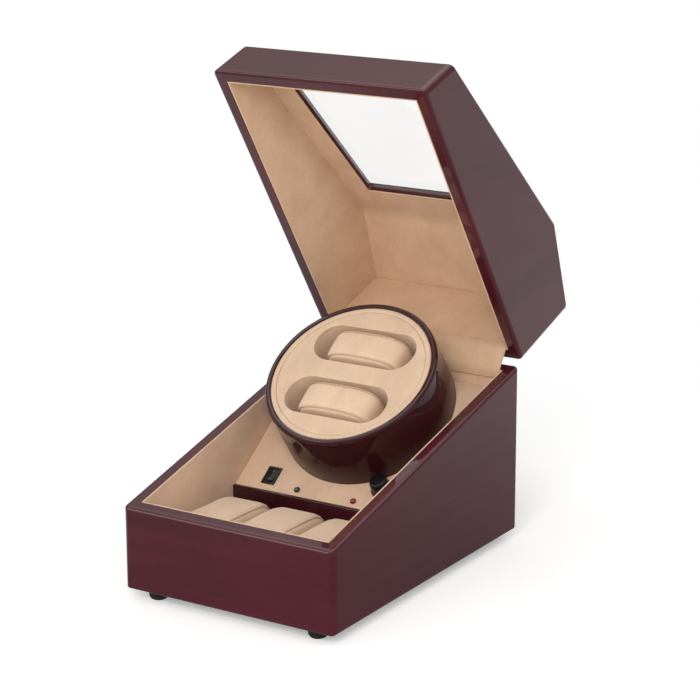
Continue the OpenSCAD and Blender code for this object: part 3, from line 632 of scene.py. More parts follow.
def plate(name, outlines, z0, z1, mat, frame, edge=0.0):
    """A flat plate with holes: the first outline is the outside. edge rounds its rims."""
    curve = bpy.data.curves.new(name + "_outline", "CURVE")
    curve.dimensions = "2D"
    curve.fill_mode = "BOTH"
    curve.extrude = ((z1 - z0) / 2 - edge) * MM
    curve.bevel_depth = edge * MM
    curve.bevel_resolution = 3
    curve.offset = -edge * MM
    for outline in outlines:
        spline = curve.splines.new("POLY")
        spline.points.add(len(outline) - 1)
        for point, (x, y) in zip(spline.points, outline):
            point.co = (x * MM, y * MM, 0, 1)
        spline.use_cyclic_u = True
    flat = new_object(name + "_tmp", curve)
    mesh = evaluated_mesh(flat)
    bpy.data.objects.remove(flat)

    work = bmesh.new()
    work.from_mesh(mesh)
    bmesh.ops.remove_doubles(work, verts=work.verts[:], dist=0.00001)
    for matrix in (shift(0, 0, (z0 + z1) / 2 * MM), in_metres(frame)):
        bmesh.ops.transform(work, matrix=matrix, verts=work.verts[:])
    bmesh.ops.recalc_face_normals(work, faces=work.faces[:])
    for face in work.faces:
        face.smooth = True
    for edge_line in work.edges:
        if len(edge_line.link_faces) == 2 and edge_line.calc_face_angle() > math.radians(40):
            edge_line.smooth = False
    work.to_mesh(mesh)
    work.free()
    mesh.materials.clear()
    mesh.materials.append(mat)
    mesh.name = name
    return new_object(name, mesh)


def merge(name, parts, mat):
    """Joins several meshes into one piece."""
    work = bmesh.new()
    for part in parts:
        work.from_mesh(part.data)
    mesh = bpy.data.meshes.new(name)
    work.to_mesh(mesh)
    work.free()
    for part in parts:
        bpy.data.objects.remove(part)
    use_only(mesh, mat)
    return new_object(name, mesh)


def circle(radius, steps=192):
    angles = [2 * math.pi * i / steps for i in range(steps)]
    return [(radius * math.cos(angle), radius * math.sin(angle)) for angle in angles]


def eased_bend(centre_y, centre_z, radius, angle, steps):
    """(y, z) points of an arc from a slope at the given angle round to level."""
    angles = [angle * (1 - i / steps) for i in range(steps + 1)]
    return [(centre_y - radius * math.sin(a), centre_z + radius * math.cos(a)) for a in angles]


# ---------------------------------------------------------------- CAD parts that stay
# finish, edge rounding (0 = none), angle in degrees that counts as an edge, nodes
KEPT_PARTS = [
    (BOARD, 0.3, 35, "bottom_panel"),
    (BLACK_MATTE, 0.3, 35, "access_cover"),
    (STEEL, 0, 35, "access_cover_screws foot_screws housing_screws drive_screws"),
    (RUBBER, 0, 35, "rubber_feet"),
    (BATTEN, 0.4, 35, "panel_battens"),
    (LACQUER_TRIM, 0.8, 35, "tray_divider"),
    (GLASS, 0, 35, "window_pane"),
    (BLACK_MATTE, 0, 35, "housing_floor drum_cup"),
    (BRASS, 0, 35, "spindle_bush plate_standoffs motor_pinion"),
    (STEEL, 0, 35, "drum_spindle spindle_clip motor_shaft power_jack_nut"),
    (STEEL_BRUSHED, 0, 35, "motor_plate gear_motor"),
    (NYLON, 0, 35, "drum_gear"),
    (PCB, 0, 35, "control_board"),
    (BLACK, 0.25, 30, "rocker_switch_body rocker_button"),
    (BLACK_MATTE, 0.2, 35, "mode_switch_body power_jack"),
    (BLACK, 0.18, 30, "mode_switch_shaft_and_knob"),
    (GREEN, 0, 35, "led_green"),
    (RED, 0, 35, "led_red"),
    (BRASS, 0.15, 30, "hinge_leaves_base hinge_leaves_lid hinge_pins"),
    (BRASS, 0, 35, "hinge_screws_base hinge_screws_lid"),
]


def finish_kept(part, mat, rounding, angle):
    """Gives a CAD part its finish and smooth shading, with soft or split edges."""
    use_only(part.data, mat)
    shade_smooth(part.data)
    part.modifiers.new("weld", "WELD").merge_threshold = 0.000002
    if rounding:
        round_by_angle(part, rounding, 2, angle)
    else:
        part.modifiers.new("split", "EDGE_SPLIT").split_angle = math.radians(angle)


for finish, rounding, angle, names in KEPT_PARTS:
    for name in names.split():
        finish_kept(frame["nodes"][name], finish, rounding, angle)


# ---------------------------------------------------------------- base case
REBATE = 4      # step cut into the inside of the walls below the floor pad


def case_shell():
    def loop(half_x, half_y, height):
        corners = ((-half_x, -half_y), (half_x, -half_y), (half_x, half_y), (-half_x, half_y))
        return [(x, y, height(y)) for x, y in corners]

    def ground(y):
        return 0

    def pad(y):
        return FLOOR_PAD_Z

    stations = [
        (loop(HALF_W, HALF_D, ground), 2.6, CORNER_ROUND),
        (loop(HALF_W, HALF_D, rim_z), EDGE_ROUND, 0),
        (loop(IN_X, IN_Y, rim_z), 0.8, 0),
        (loop(IN_X, IN_Y, pad), 0, 0),
        (loop(IN_X + REBATE, IN_Y + REBATE, pad), 0, 0),
        (loop(IN_X + REBATE, IN_Y + REBATE, ground), 0.4, 0),
    ]
    part = ring_loft("case_shell", stations, LACQUER_BASE, IDENTITY, segments=8)
    mount(part, "base", "base_case")


case_shell()


# ---------------------------------------------------------------- base linings
def add_linings(body, boards, mat, frame):
    """Each board is (side, (y, z) outline, x start, x end, rounding)."""
    for side, outline, x0, x1, rounding in boards:
        part = prism(f"lining_{body}_{side}", outline, x0, x1, mat, frame, rounding)
        mount(part, body, f"{body}_lining_{side}")


def base_linings():
    side_y = LIN_Y - FIT
    side = [(-side_y, FLOOR_PAD_Z), (side_y, FLOOR_PAD_Z),
            (side_y, rim_z(LIN_Y) - RIM_DROP), (-side_y, rim_z(-LIN_Y) - RIM_DROP)]
    front = [(-IN_Y, FLOOR_PAD_Z), (-LIN_Y, FLOOR_PAD_Z),
             (-LIN_Y, rim_z(-LIN_Y) - RIM_DROP), (-IN_Y, rim_z(-IN_Y) - RIM_DROP)]
    rear = [(LIN_Y, LEDGE_Z - PANEL_T), (IN_Y, LEDGE_Z - PANEL_T),
            (IN_Y, rim_z(IN_Y) - RIM_DROP), (LIN_Y, rim_z(LIN_Y) - RIM_DROP)]
    add_linings("base", [
        ("left", side, -IN_X, -LIN_X, 0.6),
        ("right", side, LIN_X, IN_X, 0.6),
        ("front", front, -IN_X, IN_X, 0.6),
        ("rear", rear, -IN_X, IN_X, 0.5),
    ], SUEDE_BASE, IDENTITY)


base_linings()


# ---------------------------------------------------------------- tray floor pad
def tray_pad(crown=1.6, edge=7.0, x_steps=36, y_steps=30):
    """A padded board: flat below, its top drawn down by crown over the outer edge width."""
    low, high = box_mm("tray_floor_pad")
    verts = []
    for top in (False, True):
        for j in range(y_steps + 1):
            for i in range(x_steps + 1):
                x = low[0] + i / x_steps * (high[0] - low[0])
                y = low[1] + j / y_steps * (high[1] - low[1])
                z = low[2]
                if top:
                    inward = min(x - low[0], high[0] - x, y - low[1], high[1] - y)
                    t = min(1, inward / edge)
                    z = high[2] - crown * (1 - math.sqrt(max(0, 1 - (1 - t) ** 2)))
                verts.append((x, y, z))
    part = double_grid("tray_pad", verts, y_steps + 1, x_steps + 1, SUEDE_BASE)
    mount(part, "base", "tray_floor_pad")


tray_pad()


# ---------------------------------------------------------------- inclined panel
def inclined_panel():
    """A covered board that climbs from behind the tray and bends level into the ledge."""
    radius = 16.0
    front_y = -7 + FIT
    rear_y = LIN_Y - 0.1
    half_width = LIN_X - 0.1
    corner_y = PANEL_Y + (LEDGE_Z - PANEL_Z) / math.tan(TILT)
    centre_y, centre_z = corner_y + radius * math.tan(TILT / 2), LEDGE_Z - radius
    upper = eased_bend(centre_y, centre_z, radius, TILT, 14)
    under = eased_bend(centre_y, centre_z, radius - PANEL_T, TILT, 14)
    outline = [(front_y, panel_z(front_y))] + upper + [(rear_y, LEDGE_Z)]
    outline += [(rear_y, LEDGE_Z - PANEL_T)] + under[::-1]
    outline += [(front_y, panel_z(front_y) - PANEL_T / math.cos(TILT))]
    part = prism("panel_board", outline, -half_width, half_width, SUEDE_BASE, IDENTITY,
                 rounding=1.1, segments=4)
    mount(part, "base", "inclined_panel")


inclined_panel()


# ---------------------------------------------------------------- lid shell and window
def on_slope(x, along, out):
    """A point of the closed lid, measured up the slope and out from its face."""
    return (x, -HALF_D + along * SLOPE_COS - out * SLOPE_SIN,
            LID_FRONT_Z + along * SLOPE_SIN + out * SLOPE_COS)


def window_rect(grow, out):
    """The window opening, grown all round, in (x, along the slope, out from its face)."""
    half, start, end = WINDOW_HALF_W + grow, WINDOW_START - grow, WINDOW_START + WINDOW_LEN + grow
    return [(-half, start, out), (half, start, out), (half, end, out), (-half, end, out)]


def add_window_loops(verts, sizes):
    """Adds a window loop for each (grow, out) and returns their index rings."""
    loops = []
    for grow, out in sizes:
        loops.append(range(len(verts), len(verts) + 4))
        verts += [on_slope(*point) for point in window_rect(grow, out)]
    return loops


def lid_shell():
    step_w, step_depth = 9, 4.6     # stepped recess round the window
    verts = []
    for half, inset in ((HALF_W, 0), (HALF_W - LID_T, LID_T)):
        verts += [(x, y, z) for x in (-half, half) for y, z in lid_outline(inset, 0)]
    out_l, out_r, in_l, in_r = index_rings(5, 4)
    loops = add_window_loops(verts, [(step_w, 0), (step_w, -step_depth),
                                     (0, -step_depth), (0, -LID_T)])
    # outline spans with a plain face; span 1-2 is the slope, which holds the window
    plain_spans = ((0, 1), (2, 3), (3, 4))
    faces = [across(out_l, out_r, i, j) for i, j in plain_spans]
    faces += [out_l, out_r, in_l, in_r]
    faces += [across(in_l, in_r, i, j) for i, j in plain_spans]
    faces += [(out_l[i], out_r[i], in_r[i], in_l[i]) for i in (0, 4)]
    faces += [(a[0], a[4], b[4], b[0]) for a, b in ((out_l, in_l), (out_r, in_r))]
    chain = [across(out_l, out_r, 1, 2)] + loops + [across(in_l, in_r, 1, 2)]
    for ring, following in zip(chain, chain[1:]):
        faces += band(ring, following)

    roundings = {(out_l[k], out_r[k]): EDGE_ROUND for k in range(5)}
    for side in (out_l, out_r):
        for i, j in ((1, 2), (2, 3), (0, 4)):
            roundings[(side[i], side[j])] = EDGE_ROUND
        for i, j in ((0, 1), (3, 4)):
            roundings[(side[i], side[j])] = CORNER_ROUND
    for pair in ((in_l[0], in_r[0]), (in_l[4], in_r[4]), (in_l[0], in_l[4]), (in_r[0], in_r[4])):
        roundings[pair] = 0.9
    for c in range(4):
        roundings[(loops[2][c], loops[3][c])] = 2.4
        roundings[(loops[0][c], loops[0][(c + 1) % 4])] = 0.4
    part = piece("lid_case", verts, faces, LACQUER_LID, LID_FRAME, roundings, segments=8)
    mount(part, "lid", "lid_shell")


def window_bead():
    """The trim frame that sits in the stepped recess and stands just proud of the slope."""
    stations = [
        (window_rect(5, -2.38), 0, 0),
        (window_rect(8.9, -2.38), 0, 0),
        (window_rect(8.9, -0.05), 0, 0),
        (window_rect(8.2, -0.05), 0, 0),
        (window_rect(8.2, 0.6), 0.5, 0),
        (window_rect(5, 0.6), 0.9, 2.4),
    ]
    part = ring_loft("window_trim", stations, LACQUER_LID, SLOPE_FRAME, segments=4)
    mount(part, "lid", "window_bead")


lid_shell()
window_bead()

# ---------------------------------------------------------------- lid linings
LINING_OUTER = lid_outline(LID_T, LID_LINING_UP)
LINING_INNER = lid_outline(LID_T + LID_LINING, LID_LINING_UP)
LID_IN_X = HALF_W - LID_T
LID_LIN_X = LID_IN_X - LID_LINING - 0.02


def lid_linings():
    def end_board(k):
        return [LINING_OUTER[k], LINING_OUTER[k + 1], LINING_INNER[k + 1], LINING_INNER[k]]

    add_linings("lid", [
        ("left", LINING_OUTER, -LID_IN_X, -LID_IN_X + LID_LINING, 0.5),
        ("right", LINING_OUTER, LID_IN_X - LID_LINING, LID_IN_X, 0.5),
        ("front", end_board(0), -LID_LIN_X, LID_LIN_X, 0.5),
        ("rear", end_board(3), -LID_LIN_X, LID_LIN_X, 0.5),
    ], SUEDE_LID, LID_FRAME)


def roof_lining():
    """One covered board: a slope with the window cut in it, an eased bend and the flat top."""
    radius = 26.0
    corner_y, corner_z = LINING_INNER[2]
    setback = radius * math.tan(SLOPE / 2)
    centre_y = corner_y - setback * SLOPE_COS + radius * SLOPE_SIN
    centre_z = corner_z - setback * SLOPE_SIN - radius * SLOPE_COS
    upper, under = [
        [outline[1]] + eased_bend(centre_y, centre_z, r, SLOPE, 16) + [outline[3]]
        for outline, r in ((LINING_OUTER, radius + LID_LINING), (LINING_INNER, radius))]
    size = len(upper)
    verts = [(x, y, z) for row in (upper, under) for x in (-LID_LIN_X, LID_LIN_X)
             for y, z in row]
    up_l, up_r, under_l, under_r = index_rings(size, 4)
    hole_grow = 0.15
    holes = add_window_loops(verts, [(hole_grow, -LID_T), (hole_grow, -LID_T - LID_LINING)])
    faces = []
    for left, right, hole in ((up_l, up_r, holes[0]), (under_l, under_r, holes[1])):
        faces += band(across(left, right, 0, 1), hole)
        faces += [across(left, right, i, i + 1) for i in range(1, size - 1)]
    faces += band(*holes)
    for top, low in ((up_l, under_l), (up_r, under_r)):
        faces += [(top[i], top[i + 1], low[i + 1], low[i]) for i in range(size - 1)]
    faces += [(up_l[i], up_r[i], under_r[i], under_l[i]) for i in (0, size - 1)]
    part = piece("lining_lid_roof", verts, faces, SUEDE_LID, LID_FRAME)
    round_by_angle(part, 0.45, 3, 40)
    mount(part, "lid", "lid_lining_roof")


lid_linings()
roof_lining()

# ---------------------------------------------------------------- drum
SLOT_LEN, SLOT_W = 88, 35
SLOT_Y = 26.1                   # centre of a slot from the drum axis
FACE_DEPTH = -3.0               # underside of the drum's face
INSERT_R = 62.5


def slot_outline(centre_y, grow=0.0, steps=20):
    """A slot with rounded ends, lying along X."""
    length, width = SLOT_LEN + 2 * grow, SLOT_W + 2 * grow
    radius = width * 0.48
    points = []
    for sx, sy, start in ((1, 1, 0), (-1, 1, 90), (-1, -1, 180), (1, -1, 270)):
        for i in range(steps + 1):
            angle = math.radians(start + 90 * i / steps)
            points.append((sx * (length / 2 - radius) + radius * math.cos(angle),
                           centre_y + sy * (width / 2 - radius) + radius * math.sin(angle)))
    return points


def slots(grow=0.0):
    return [slot_outline(side * SLOT_Y, grow) for side in (1, -1)]


def drum_housing():
    foot = -HOUSING_H + 0.03
    lip = [(HOUSING_R - 2.8 + 2.8 * math.cos(t), -2.2 + 3.4 * math.sin(t))
           for t in np.linspace(0, math.pi / 2, 15)]
    # (r, z): up the outer wall, over the lip and down inside it
    profile = [(66.25, foot), (HOUSING_R - 0.3, foot), (HOUSING_R, -HOUSING_H + 0.4),
               (HOUSING_R, -30.0), (HOUSING_R, -8.0)] + lip
    profile += [(66.1, 1.15), (65.5, 1.0), (65.08, 0.78), (64.9, 0.3), (64.9, -6.0),
                (66.25, -7.3)]
    part = lathe("drum_case", profile, LACQUER_DRUM, DRUM_FRAME)
    mount(part, "base", "drum_housing")


def drum_face():
    outer_r, inner_r = 64.42, 60.35
    crown = [(inner_r + 2.04 + 2.02 * math.cos(t), -0.2 + 0.75 * math.sin(t))
             for t in np.linspace(0.1, math.pi - 0.1, 12)]
    profile = [(outer_r, FACE_DEPTH), (outer_r, 0.0)] + crown
    profile += [(inner_r, -0.2), (inner_r, FACE_DEPTH)]
    ring = lathe("face_ring", profile, SUEDE_DISC, DRUM_FRAME)
    mount(ring, "drum", "drum_face_ring")
    disc = plate("face_disc", [circle(60.25)] + slots(), FACE_DEPTH, 0.0, SUEDE_DISC,
                 DRUM_FRAME, edge=0.8)
    mount(disc, "drum", "drum_face_disc")


def drum_insert():
    """The walls and floor of the slots, below the face."""
    walls = plate("insert_walls", [circle(INSERT_R)] + slots(grow=0.02), -38.5, -3.05,
                  SUEDE_DISC, DRUM_FRAME)
    floor = plate("insert_floor", [circle(INSERT_R)], -41.8, -38.55, SUEDE_DISC, DRUM_FRAME)
    mount(merge("slot_lining", [walls, floor], SUEDE_DISC), "drum", "drum_insert")


drum_housing()
drum_face()
drum_insert()


# ---------------------------------------------------------------- rocker marks
def rocker_marks():
    """A printed bar and ring, one on each wing of the rocker."""
    rocker = PANEL_FRAME @ shift(-53, -74, -1) @ turn_x(math.radians(-5))
    wing_angle = math.atan2(0.6, 2.8)
    half_w, half_l = 0.25, 1.1
    bar = [(-half_w, -half_l), (half_w, -half_l), (half_w, half_l), (-half_w, half_l)]
    marks = []
    for name, outlines, side in (("mark_bar", [bar], 1),
                                 ("mark_ring", [circle(1.15, 40), circle(0.75, 40)], -1)):
        wing = rocker @ shift(0, side * 4.0, 2.4) @ turn_x(side * wing_angle)
        marks.append(plate(name, outlines, -0.02, 0.1, MARK, wing))
    mount(merge("rocker_marks", marks, MARK), "rocker")


rocker_marks()

# ---------------------------------------------------------------- cushions
CLOTH_FRAMES = 20
CLOTH = {                       # settings of the swelling cloth
    "quality": 6, "mass": 0.25, "tension_stiffness": 12, "compression_stiffness": 12,
    "shear_stiffness": 6, "bending_stiffness": 0.6,
    "use_pressure": True, "uniform_pressure_force": 4.0,
}
GROOVE_REACH, GROOVE_DEPTH = 0.0026, 0.0008     # metres, round each seam
CORD_R = 0.00062                                # metres
CORD_STEP = 0.0016                              # metres between points of a cord


def oval_tube(length, height, power, width, end_r=4.5, around=56, steps=22):
    """A closed oval tube along local X with rounded end rims; power squares the oval."""
    verts = []
    for j in range(steps + 1):
        x = -width / 2 + width * (j / steps)
        to_end = min(x + width / 2, width / 2 - x)
        bulge = 1.0
        if to_end < end_r:
            bulge = math.sqrt(max(0.0, 1 - (1 - to_end / end_r) ** 2))
        inset = end_r * (1 - bulge)
        for i in range(around):
            angle = 2 * math.pi * i / around
            c, s = math.cos(angle), math.sin(angle)
            verts.append((x, (length / 2 - inset) * math.copysign(abs(c) ** power, c),
                          (height / 2 - inset) * math.copysign(abs(s) ** power, s)))
    rings = index_rings(around, steps + 1)
    faces = []
    for ring, following in zip(rings, rings[1:]):
        faces += band(ring, following)
    return verts, faces + [rings[0], rings[-1]]


def cord(name, points, radius, mat, sides=8):
    """A closed round cord along a line of points, in metres."""
    points = [Vector(p) for p in points]
    count = len(points)
    verts, faces = [], []
    up = None
    for i, point in enumerate(points):
        tangent = (points[(i + 1) % count] - points[(i - 1) % count]).normalized()
        if up is None:
            up = tangent.orthogonal().normalized()
        up = (up - tangent * up.dot(tangent)).normalized()
        across_cord = tangent.cross(up)
        for j in range(sides):
            angle = 2 * math.pi * j / sides
            verts.append(point + up * (radius * math.cos(angle))
                         + across_cord * (radius * math.sin(angle)))
    rings = index_rings(sides, count)
    for i in range(count):
        faces += band(rings[i], rings[(i + 1) % count])
    return piece(name, [v / MM for v in verts], faces, mat)


def get_points(mesh):
    return np.array([v.co for v in mesh.vertices], float)


def set_points(mesh, points):
    for vertex, point in zip(mesh.vertices, points):
        vertex.co = point


def swell(part, voxel, cap, held):
    """Remeshes a closed form and swells it as cloth by at most cap, held points staying."""
    remesh = part.modifiers.new("voxels", "REMESH")
    remesh.mode = "VOXEL"
    remesh.voxel_size = voxel * MM
    settle(part)
    part.modifiers.new("even", "SMOOTH").iterations = 3
    settle(part)
    shade_smooth(part.data)
    rest = get_points(part.data)
    cloth = part.modifiers.new("cloth", "CLOTH")
    for key, value in CLOTH.items():
        setattr(cloth.settings, key, value)
    cloth.settings.effector_weights.gravity = 0
    group = part.vertex_groups.new(name="held")
    for i, point in enumerate(rest / MM):
        if held(point):
            group.add([i], 1.0, "REPLACE")
    cloth.settings.vertex_group_mass = "held"
    cloth.point_cache.frame_start, cloth.point_cache.frame_end = 1, CLOTH_FRAMES
    for number in range(1, CLOTH_FRAMES + 1):
        scene.frame_set(number)
    evaluated = part.evaluated_get(bpy.context.evaluated_depsgraph_get())
    swollen = get_points(evaluated.to_mesh())
    evaluated.to_mesh_clear()
    part.modifiers.clear()
    scene.frame_set(1)
    move = swollen - rest
    size = np.linalg.norm(move, axis=1)
    scale = np.where(size > cap * MM, cap * MM / np.maximum(size, 1e-9), 1.0)
    set_points(part.data, rest + move * scale[:, None])


def stuff_unevenly(points, width, length, height, seed):
    """Soft dents and bulges at random places."""
    rng = np.random.RandomState(seed)
    for _ in range(14):
        centre = np.array([rng.uniform(-width / 2, width / 2),
                           rng.uniform(-length / 2, length / 2),
                           rng.uniform(-height / 2, height / 2)])
        reach = rng.uniform(9, 18)
        depth = rng.uniform(-0.55, 0.45)
        distance2 = ((points - centre) ** 2).sum(1)
        outward = points / np.maximum(np.linalg.norm(points, axis=1), 1e-6)[:, None]
        points += outward * (depth * np.exp(-distance2 / (2 * reach * reach)))[:, None]


def longest_chain(neighbours):
    """The longest run of joined vertices."""
    best, seen = [], set()
    for start in neighbours:
        if start in seen:
            continue
        chain, previous, current = [start], None, start
        seen.add(start)
        while True:
            step = [v for v in neighbours[current] if v is not previous and v not in seen]
            if not step:
                break
            previous, current = current, step[0]
            seen.add(current)
            chain.append(current)
        if len(chain) > len(best):
            best = chain
    return best


def seam_loop(mesh, x):
    """The closed line where the plane at x cuts a mesh, evenly spaced, in metres."""
    work = bmesh.new()
    work.from_mesh(mesh)
    cut = bmesh.ops.bisect_plane(work, geom=work.verts[:] + work.edges[:] + work.faces[:],
                                 plane_co=(x, 0, 0), plane_no=(1, 0, 0))["geom_cut"]
    neighbours = {}
    for item in cut:
        if isinstance(item, bmesh.types.BMEdge):
            for a, b in ((0, 1), (1, 0)):
                neighbours.setdefault(item.verts[a], []).append(item.verts[b])
    points = np.array([v.co[:] for v in longest_chain(neighbours)], float)
    work.free()
    closed = np.vstack([points, points[:1]])
    run = np.r_[0, np.cumsum(np.linalg.norm(np.diff(closed, axis=0), axis=1))]
    count = max(24, int(run[-1] / CORD_STEP))
    stops = np.linspace(0, run[-1], count, endpoint=False)
    line = np.stack([np.interp(stops, run, closed[:, k]) for k in range(3)], axis=1)
    for _ in range(2):
        line = (np.roll(line, 1, axis=0) + 2 * line + np.roll(line, -1, axis=0)) / 4
    return line


def press_groove(mesh, line_points):
    points = get_points(mesh)
    for i, point in enumerate(points):
        nearest = np.sqrt(((line_points - point) ** 2).sum(1)).min()
        if nearest < GROOVE_REACH:
            normal = np.array(mesh.vertices[i].normal[:])
            points[i] = point - normal * GROOVE_DEPTH * (1 - nearest / GROOVE_REACH) ** 1.2
    set_points(mesh, points)


def cushion(name, size, power, frame, body, node, voxel, cap, seed, floor=-math.inf):
    """A stuffed cushion with a corded seam round each end.

    size is (length along Y, height along Z, width along X); nothing sinks below floor.
    """
    length, height, width = size
    form_w = width - 4.0
    verts, faces = oval_tube(length - 3.0, height - 3.0, power, form_w)
    part = piece(name, verts, faces, SUEDE_CUSHION)

    def held(point):
        # the two end rims are sewn, so they hold while the faces swell
        x, y, z = point
        at_rim = abs(abs(x) - (form_w / 2 - 2.2)) < 1.6
        outside = (abs(y) > 0.72 * length / 2 or abs(z) > 0.72 * height / 2
                   or (y / (length / 2)) ** 2 + (z / (height / 2)) ** 2 > 0.7)
        return at_rim and outside

    swell(part, voxel, cap, held)
    points = get_points(part.data) / MM
    stuff_unevenly(points, width, length, height, seed)
    points[:, 2] = np.maximum(points[:, 2], floor + 0.15)
    limit = np.array([width / 2 + 0.1, length / 2 + 0.4, height / 2 + 0.6])
    points = np.clip(points, -limit, limit)
    set_points(part.data, [Vector(point) * MM for point in points])
    soft = part.modifiers.new("soft", "SUBSURF")
    soft.levels = soft.render_levels = 1
    settle(part)

    # sewn rims: a groove pressed in and a cord of folded suede standing in it
    seam_x = form_w / 2 - 1.9
    lines = [seam_loop(part.data, side * seam_x * MM) for side in (-1, 1)]
    press_groove(part.data, np.vstack(lines))
    cords = [cord(f"{name}_cord_{k}", line, CORD_R, SUEDE_SEAM) for k, line in enumerate(lines)]
    for item in [part] + cords:
        item.data.transform(in_metres(frame))
        shade_smooth(item.data)
    mount(part, body, node)
    for item in cords:
        mount(item, body)


def tray_cushions():
    height = 44
    pad_top = FLOOR_PAD_Z + 3.0
    y = (-LIN_Y - 11) / 2 - 3
    for k, side in ((-1, "left"), (0, "middle"), (1, "right")):
        cushion(f"tray_cushion_{side}", (84, height, 44), 0.5,
                shift(k * 48.5, y, pad_top + FIT + height / 2),
                f"{side}_cushion", f"storage_cushion_{side}",
                voxel=3.0, cap=5.0, seed=13 + k, floor=-height / 2)


def slot_cushions():
    """One in each drum slot, turned so that its local Y lies along the slot."""
    for k, side in ((1, "upper"), (-1, "lower")):
        place = DRUM_FRAME @ shift(0, k * SLOT_Y, -16)
        cushion(f"slot_cushion_{side}", (69, 42, 30.8), 0.62,
                place @ Matrix.Rotation(math.radians(90), 4, "Z"),
                f"{side}_cushion", f"drum_cushion_{side}", voxel=2.6, cap=4.0, seed=16 + k)


tray_cushions()
slot_cushions()


# ---------------------------------------------------------------- hinge strip
def opened(point):
    """A (y, z) point measured from the hinge, turned with the lid."""
    c, s = math.cos(LID_OPEN), math.sin(LID_OPEN)
    return Vector((HINGE.y + point.x * c + point.y * s, HINGE.z - point.x * s + point.y * c))


def strip_line(stations):
    """Straight up the base lining, across the gap and on along the lid, corners eased."""
    foot, rim, lid_rim, lid_end = stations
    points = [foot.lerp(rim, k / 5) for k in range(5)]
    points += [rim.lerp(lid_rim, k / 14) for k in range(15)]
    points += [lid_rim.lerp(lid_end, k / 5) for k in range(1, 6)]
    for _ in range(3):
        eased = [(points[i - 1] + points[i] * 2 + points[i + 1]) / 4
                 for i in range(1, len(points) - 1)]
        points = [points[0]] + eased + [points[-1]]
    return points


def hinge_strip():
    overlap = 7         # covered height on the base lining and on the lid lining
    off = 0.12          # gap between the strip and the linings
    thickness, columns = 0.6, 24
    inset = LID_T + LID_LINING
    lid_foot = Vector((HALF_D - inset - HINGE.y,
                       rim_z(HALF_D - inset) + LID_GAP + LID_LINING_UP - HINGE.z))
    lid_end = lid_foot + Vector((0, overlap))
    base_rim = Vector((LIN_Y - off, rim_z(LIN_Y) - RIM_DROP))
    lid_rim = opened(lid_foot + Vector((-off, 0.6)))
    line = strip_line([Vector((LIN_Y - off, rim_z(LIN_Y) - overlap)), base_rim,
                       lid_rim, opened(lid_end + Vector((-off, 0)))])
    x0, x1 = -LIN_X + 0.4, LIN_X - 0.4
    last = len(line) - 1
    verts = []
    for layer in (0, 1):
        for i, point in enumerate(line):
            tangent = (line[min(i + 1, last)] - line[max(i - 1, 0)]).normalized()
            y, z = point + Vector((-tangent.y, tangent.x)) * (thickness * layer)
            verts += [(x0 + (x1 - x0) * j / columns, y, z) for j in range(columns + 1)]
    part = double_grid("hinge_strip", verts, len(line), columns + 1, SUEDE_LID)
    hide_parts("hinge_cover_strip")
    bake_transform(part)


hinge_strip()


# ---------------------------------------------------------------- stage, light, camera
# from here on lengths are in metres
def stage_floor():
    half, z = 9.0, cad_box[0][2]
    mesh = bpy.data.meshes.new("studio_floor")
    mesh.from_pydata([(-half, -half, z), (half, -half, z), (half, half, z), (-half, half, z)],
                     [], [(0, 1, 2, 3)])
    mesh.materials.append(floor_sweep("floor_white"))
    new_object("studio_floor", mesh)


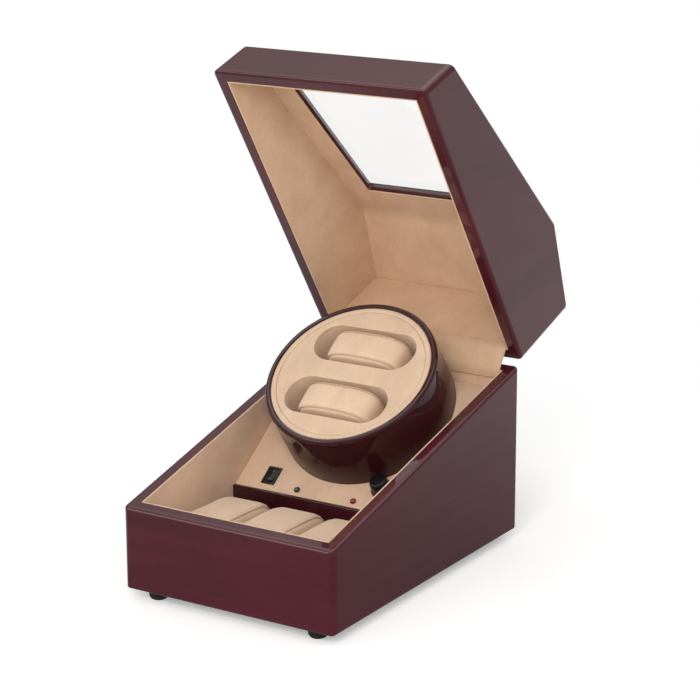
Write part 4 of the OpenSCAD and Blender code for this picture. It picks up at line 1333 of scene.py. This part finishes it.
def studio_world():
    """White to the eye, an even glow on surfaces, and a lit room in reflections."""
    world = bpy.data.worlds.new("studio")
    scene.world = world
    world.use_nodes = True
    graph = Graph(world.node_tree)
    output = graph.node("OutputWorld")
    background = graph.node("Background", {"Color": (1.0, 0.99, 0.98)})
    graph.put(output, 0, background.outputs[0])
    direction = graph.node("TexCoord").outputs["Generated"]
    _, y, z = graph.node("SeparateXYZ", {0: direction}).outputs

    # reflections: a bright overhead sheet, a dim room, a round light and a front strip
    sheet = graph.math("ADD", graph.fade(z, source=(0.50, 0.92), target=(0.0, 1.22)),
                       graph.fade(z, source=(0.76, 0.90), target=(0.0, 0.7)))
    room = graph.math("ADD", sheet, graph.fade(y, source=(-0.2, 0.9), target=(0.18, 0.30)))
    toward = graph.dot(direction, Vector((-0.52, -0.74, 0.42)).normalized())
    room = graph.math("ADD", room, graph.fade(toward, source=(0.955, 0.985), target=(0.0, 1.5)))
    strip = graph.math("MULTIPLY", graph.fade(z, source=(0.34, 0.40), target=(0.0, 1.0)),
                       graph.fade(z, source=(0.50, 0.56), target=(1.0, 0.0)))
    strip = graph.math("MULTIPLY", strip,
                       graph.fade(y, source=(-0.25, -0.10), target=(1.9, 0.0)))
    room = graph.math("ADD", room, strip)

    glow = 0.62
    path = graph.node("LightPath")
    direct = graph.seen_directly(path)
    glossy = path.outputs["Is Glossy Ray"]
    mixed = graph.math("ADD", graph.math("MULTIPLY", glossy, room),
                       graph.math("MULTIPLY", graph.math("SUBTRACT", 1.0, glossy), glow))
    indirect = graph.math("MULTIPLY", graph.math("SUBTRACT", 1.0, direct), mixed)
    graph.put(background, "Strength", graph.math("ADD", indirect, direct))


def area_light(name, location, target, size, power, color=(1, 1, 1)):
    """A square light aimed at target and left out of reflections."""
    light = bpy.data.lights.new(name, "AREA")
    light.shape = "SQUARE"
    light.size = size
    light.energy = power
    light.color = color
    holder = new_object(name, light)
    holder.location = location
    aim = Vector(target) - Vector(location)
    holder.rotation_euler = aim.to_track_quat("-Z", "Y").to_euler()
    holder.visible_glossy = False


def camera():
    lens_data = bpy.data.cameras.new("view")
    lens_data.sensor_width = 36.0
    lens_data.lens = 120.98
    lens_data.shift_x, lens_data.shift_y = 0.01661, 0.00996
    lens_data.clip_start, lens_data.clip_end = 0.05, 50
    holder = new_object("view", lens_data)
    holder.location = (0.92561, -1.42475, 0.63345)
    holder.rotation_mode = "QUATERNION"
    level = Vector((-0.52048, 0.81046, -0.26882)).to_track_quat("-Z", "Y")
    roll = Quaternion((0, 0, 1), math.radians(-0.267))
    holder.rotation_quaternion = level @ roll
    scene.camera = holder


stage_floor()
studio_world()
area_light("key", location=(0.75, -1.75, 1.15), target=(0, 0.08, 0.16), size=1.0, power=26.0,
           color=(1.0, 0.97, 0.94))
area_light("fill", location=(-1.6, -1.3, 1.0), target=(0, 0, 0.12), size=1.4, power=6.0)
area_light("rear", location=(1.6, 1.2, 1.0), target=(0, 0.1, 0.15), size=1.2, power=5.0)
camera()
scene.view_settings.view_transform = "Standard"
